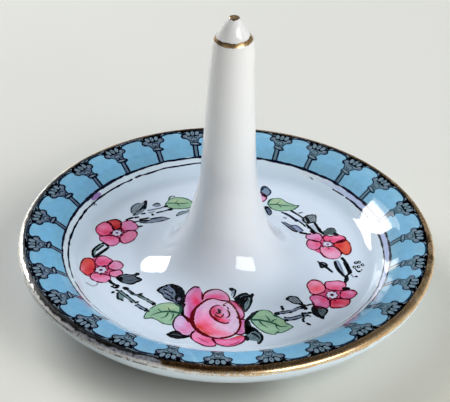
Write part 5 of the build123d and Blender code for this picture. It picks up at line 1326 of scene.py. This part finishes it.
# the bare lip gleams just below the print
gleam = np.exp(-((ga + 96) / 50) ** 6)[None] * np.exp(-((u - reach - 0.13) / 0.12) ** 4)
metal = (u > reach) * np.exp(-((ga + 92) / 45) ** 6)[None]
metal = metal * np.where(ga[None] > -70, np.clip((reach + 0.24 - u) / 0.06, 0, 1), 1.0)
wear, tarnish_and_painted_reflection = wear * (1 - 0.92 * metal), tarnish_and_painted_reflection * (1 - 0.95 * metal)
gleam = gleam * np.clip((ga + 64) / 8, 0, 1)[None]
wear, tarnish_and_painted_reflection = np.maximum(wear, 0.97 * gleam), tarnish_and_painted_reflection * (1 - 0.92 * gleam)
# a broken dark line below it
line_u = 0.64 + 0.02 * wave(ga, [(6, 1.0)], 15)[None]
fleck = np.clip(fleck + low * np.clip((ga + 60) / 6, 0, 1)[None] * np.exp(-((u - line_u) / 0.045) ** 2) * (grain(49, 300, 2) > -0.1) * 0.9 + worn[None] * (1 - low) * np.exp(-((u - 0.93) / 0.07) ** 2) * (grain(47, 330, 3) > -0.2), 0, 1)
faces = []
for j in range(NR - 1):
    for i in range(NA):
        k = (i + 1) % NA
        faces.append([j * NA + i, (j + 1) * NA + i, (j + 1) * NA + k, j * NA + k])
mesh_object("rim_gold", G, faces, GOLD, normals=GN, colors=np.stack([wear, tarnish_and_painted_reflection, fleck], -1).reshape(-1, 3),
            slot="gold", replaces=("rim_gilding",))


# ---- gold ribbon on the shoulder and gold on the tip, laid on the post's own profile
def post_band(name, s_of, wear_of, darkening_of, n, m, off, chain, replaces):
    P, T = chain
    s = np.r_[0, np.cumsum(np.hypot(*np.diff(P, axis=0).T))]
    a = np.linspace(-180, 180, n, endpoint=False)
    lo, hi = s_of(a)
    u = np.linspace(0, 1, m)[:, None]
    S = lo[None] * (1 - u) + hi[None] * u
    r, z = np.interp(S, s, P[:, 0]), np.interp(S, s, P[:, 1])
    tr, tz = np.interp(S, s, T[:, 0]), np.interp(S, s, T[:, 1])
    k = np.hypot(tr, tz)
    nr, nz = tz / k, -tr / k
    ca, sa = np.sin(np.radians(a))[None], -np.cos(np.radians(a))[None]
    co = lean(np.stack([(r + off * nr) * ca, (r + off * nr) * sa, z + off * nz], -1).reshape(-1, 3))
    no = np.stack([nr * ca, nr * sa, nz + 0 * ca], -1).reshape(-1, 3)
    faces = []
    for j in range(m - 1):
        for i in range(n):
            k = (i + 1) % n
            faces.append([j * n + i, j * n + k, (j + 1) * n + k, (j + 1) * n + i])
    g = np.random.default_rng(n).normal(size=(m, n))
    col = np.stack([np.clip(wear_of(a, u) + 0.05 * g, 0, 1), np.clip(darkening_of(a, u) + 0.08 * g, 0, 1), 0 * g], -1).reshape(-1, 3)
    return mesh_object(name, co, faces, GOLD, normals=no, colors=col, slot="gold", replaces=replaces)


ns = np.r_[0, np.cumsum(np.hypot(*np.diff(NOSE[0], axis=0).T))]
S_MID = np.interp(62.45, NOSE[0][:, 1], ns)
# the shoulder gold is darker towards the front left and towards its upper edge; the tip gold is darker towards its
# lower edge
post_band("shoulder_gold",
          lambda a: (S_MID - 0.50 - 0.26 * np.cos(np.radians(a + 42)) + wave(a, [(40, 0.05), (12, 0.05), (4, 0.02)], 21),
                     S_MID + 0.50 - 0.26 * np.cos(np.radians(a + 42)) + wave(a, [(40, 0.05), (12, 0.06), (4, 0.02)], 22)),
          lambda a, u: 0.10 + 0.0 * a[None] + 0.25 * (np.abs(u - 0.5) > 0.46), lambda a, u: 0.35 + 0.45 * bump_at(a, -50, 45)[None] + 0.3 * (u - 0.5), 360, 11, 0.025, NOSE,
          ("shoulder_gilding",))
tip_chain = (np.concatenate([NOSE[0][-9:-1], bez((1.10, 66.86), (1.01, 66.95), (0.90, 66.95), 7)[0], line((0.88, 66.95), (0.02, 66.95), 6)[0]]),
             np.concatenate([NOSE[1][-9:-1], bez((1.10, 66.86), (1.01, 66.95), (0.90, 66.95), 7)[1], line((0.88, 66.95), (0.02, 66.95), 6)[1]]))
tsn = np.r_[0, np.cumsum(np.hypot(*np.diff(tip_chain[0], axis=0).T))]
post_band("tip_gold", lambda a: (np.interp(66.78, tip_chain[0][:15, 1], tsn[:15]) + wave(a, [(60, 0.10), (20, 0.06)], 31), tsn[-1] + 0 * a),
          lambda a, u: 0.12 + 0.0 * a[None] + 0 * u, lambda a, u: 0.3 + 0.3 * (1 - u) + 0 * a[None], 96, 14, 0.025, tip_chain, ("tip_gilding",))

ground.build("border_ground", INK, "print_ink")
panels.build("border_panels", TURQ, "turquoise_enamel", ("border_enamel",))
border.build("border_lines", INK, "print_ink", ("border_print",))
rose.build("roses", PINK, "pink_enamel", ("rose_enamel",))
blossom.build("blossoms", PINK, "pink_enamel", ("blossom_enamel",))
leaf.build("green_leaves", GREEN, "green_enamel", ("leaf_enamel",))
gar.build("garland", INK, "print_ink", ("garland_print",))


# ============================================================ floor, light, camera
floor_mat, nt, b = new_material("floor_paper")
tc = add(nt, "ShaderNodeTexCoord")
paper = ramp(nt, noise(nt, tc, 3.0, 3.0), [(0.2, (0.80, 0.81, 0.77)), (0.8, (0.815, 0.822, 0.785))])
# painted warm shade: the sheet is warmer and a little darker towards the front right, where the floor lies in shade
sp = add(nt, "ShaderNodeVectorMath", operation="DOT_PRODUCT", inputs={1: (0.55, -0.84, 0)})
nt.links.new(tc.outputs["Object"], sp.inputs[0])
mr = add(nt, "ShaderNodeMapRange", inputs={"From Min": -0.02, "From Max": 0.07})
nt.links.new(sp.outputs["Value"], mr.inputs["Value"])
sheet = mix_color(nt, paper, mix_color(nt, paper, (0.975, 0.955, 0.875), 1.0, "MULTIPLY"), mr.outputs[0])
# painted shadow: the floor is a little darker where it lies beneath the dish at the front left
flat = add(nt, "ShaderNodeVectorMath", operation="LENGTH")
nt.links.new(tc.outputs["Object"], flat.inputs[0])
under = add(nt, "ShaderNodeMapRange", interpolation_type="SMOOTHSTEP", inputs={"From Min": 54.0 * MM, "From Max": 29.0 * MM})
nt.links.new(flat.outputs["Value"], under.inputs["Value"])
unit = add(nt, "ShaderNodeVectorMath", operation="NORMALIZE")
nt.links.new(tc.outputs["Object"], unit.inputs[0])
fl = add(nt, "ShaderNodeVectorMath", operation="DOT_PRODUCT", inputs={1: (-0.29, -0.957, 0)})
nt.links.new(unit.outputs[0], fl.inputs[0])
fm = add(nt, "ShaderNodeMapRange", interpolation_type="SMOOTHSTEP", inputs={"From Min": 0.76, "From Max": 0.95})
nt.links.new(fl.outputs["Value"], fm.inputs["Value"])
painted_shadow_mask = add(nt, "ShaderNodeMath", operation="MULTIPLY")
nt.links.new(under.outputs[0], painted_shadow_mask.inputs[0])
nt.links.new(fm.outputs[0], painted_shadow_mask.inputs[1])
nt.links.new(mix_color(nt, sheet, mix_color(nt, sheet, (0.30, 0.28, 0.25), 1.0, "MULTIPLY"), painted_shadow_mask.outputs[0]), b.inputs["Base Color"])
b.inputs["Roughness"].default_value = 0.85
b.inputs["Specular IOR Level"].default_value = 0.2
me = bpy.data.meshes.new("floor")
s = 1.6
me.from_pydata([(-s, -s, 0), (s, -s, 0), (s, s, 0), (-s, s, 0)], [], [(0, 1, 2, 3)])
me.materials.append(floor_mat)
floor = bpy.data.objects.new("floor", me)
COL.objects.link(floor)


def heading(az, el):
    """az is degrees from the front (-Y) towards +X."""
    a, e = math.radians(az), math.radians(el)
    return Vector((math.sin(a) * math.cos(e), -math.cos(a) * math.cos(e), math.sin(e)))


def softbox(name, az, el, dist, width, height, radiance, color=(1, 1, 1), turn=0.0, mirror=True):
    li = bpy.data.lights.new(name, "AREA")
    li.shape, li.size, li.size_y = "RECTANGLE", width, height
    li.energy = radiance * math.pi * width * height
    li.color = color
    ob = bpy.data.objects.new(name, li)
    COL.objects.link(ob)
    d = heading(az, el)
    ob.location = d * dist + Vector((0, 0, 0.012))
    ob.rotation_mode = "QUATERNION"
    ob.rotation_quaternion = d.to_track_quat("Z", "Y") @ Quaternion((0, 0, 1), math.radians(turn))
    ob.visible_camera = False
    ob.visible_glossy = mirror
    return ob


softbox("softbox_right", 42, 25, 0.80, 0.53, 0.25, 6.2)
softbox("softbox_back", -138, 30, 0.80, 0.62, 0.28, 6.6, turn=-27, mirror=False)
softbox("fill_right", 75, 40, 0.80, 0.50, 0.40, 4.8, mirror=False)
softbox("fill_back", -139, 42, 0.80, 0.50, 0.30, 2.6, mirror=False)


def panel(name, az, el, dist, outline, radiance):
    """Bright screen of a given outline in mm, seen only in reflections."""
    d = heading(az, el)
    up = (Vector((0, 0, 1)) - d * d.z).normalized()
    side = up.cross(d)
    me = bpy.data.meshes.new(name)
    k = dist / 0.80 * MM
    me.from_pydata([d * dist + side * (x * k) + up * (y * k) + Vector((0, 0, 0.012)) for x, y in outline], [], [tuple(range(len(outline)))])
    mat, nt, b = new_material(name)
    b.inputs["Base Color"].default_value = (0, 0, 0, 1)
    b.inputs["Emission Color"].default_value = (1, 1, 1, 1)
    b.inputs["Emission Strength"].default_value = radiance
    me.materials.append(mat)
    ob = bpy.data.objects.new(name, me)
    COL.objects.link(ob)
    ob.visible_camera = ob.visible_diffuse = ob.visible_shadow = ob.visible_transmission = False
    return ob


# the back softbox as the glaze mirrors it, one corner masked
panel("screen_back", -138, 30, 0.84, [(-315, 176), (-135, -22), (38, -147), (265, -220), (272, -100), (250, 0), (200, 80), (150, 125), (100, 160), (-75, 160)], 14.0)
panel("screen_low", -155, 5, 0.84, [(-60, -60), (60, -75), (70, 45), (-40, 60)], 5.0)
world = bpy.data.worlds.new("studio")
bpy.context.scene.world = world
world.use_nodes = True
wn = world.node_tree
bg = next(x for x in wn.nodes if x.type == "BACKGROUND")
wtc = add(wn, "ShaderNodeTexCoord")
total = None
for az, el, k in ((180, 8, 0.24), (225, 8, 0.60), (315, 8, 0.66), (90, 8, 0.30), (0, 8, 0.10)):
    dt = add(wn, "ShaderNodeVectorMath", operation="DOT_PRODUCT", inputs={1: heading(az, el)})
    wn.links.new(wtc.outputs["Generated"], dt.inputs[0])
    m1 = add(wn, "ShaderNodeMath", operation="MAXIMUM", inputs={1: 0.0})
    wn.links.new(dt.outputs["Value"], m1.inputs[0])
    m2 = add(wn, "ShaderNodeMath", operation="POWER", inputs={1: 9.0})
    wn.links.new(m1.outputs[0], m2.inputs[0])
    m3 = add(wn, "ShaderNodeMath", operation="MULTIPLY_ADD", inputs={1: k, 2: 0.0})
    wn.links.new(m2.outputs[0], m3.inputs[0])
    if total is not None:
        wn.links.new(total, m3.inputs[2])
    total = m3.outputs[0]
wn.links.new(total, bg.inputs[1])
bg.inputs[0].default_value = (1, 1, 1, 1)

cam_data = bpy.data.cameras.new("camera")
cam = bpy.data.objects.new("camera", cam_data)
COL.objects.link(cam)
bpy.context.scene.camera = cam
# camera fitted to the photograph: position about the rim plane's centre, then aim and roll
UNIT, DIST, ELEV, ROLL, YAW, PITCH, FPX = 46.8, 6.5, 35.73, 1.54, -0.117, 1.392, 1324.1
el = math.radians(ELEV)
c = Vector((0, -math.cos(el), math.sin(el))) * DIST
fwd = (-c).normalized()
right = Vector((1, 0, 0))
up = right.cross(fwd)
fwd = (fwd + right * math.tan(math.radians(YAW)) + up * math.tan(math.radians(PITCH))).normalized()
right = fwd.cross(Vector((0, 0, 1))).normalized()
up = right.cross(fwd)
ro = math.radians(ROLL)
r2, u2 = right * math.cos(ro) + up * math.sin(ro), -right * math.sin(ro) + up * math.cos(ro)
loc = (c * UNIT + Vector((0, 0, RIM_Z))) * MM
cam.matrix_world = Matrix.Translation(loc) @ Matrix((r2, u2, -fwd)).transposed().to_4x4()
cam_data.sensor_width = 36.0
cam_data.lens = FPX / 450 * 36.0
cam_data.clip_start, cam_data.clip_end = 0.01, 20
bpy.context.scene.view_settings.view_transform = "Standard"
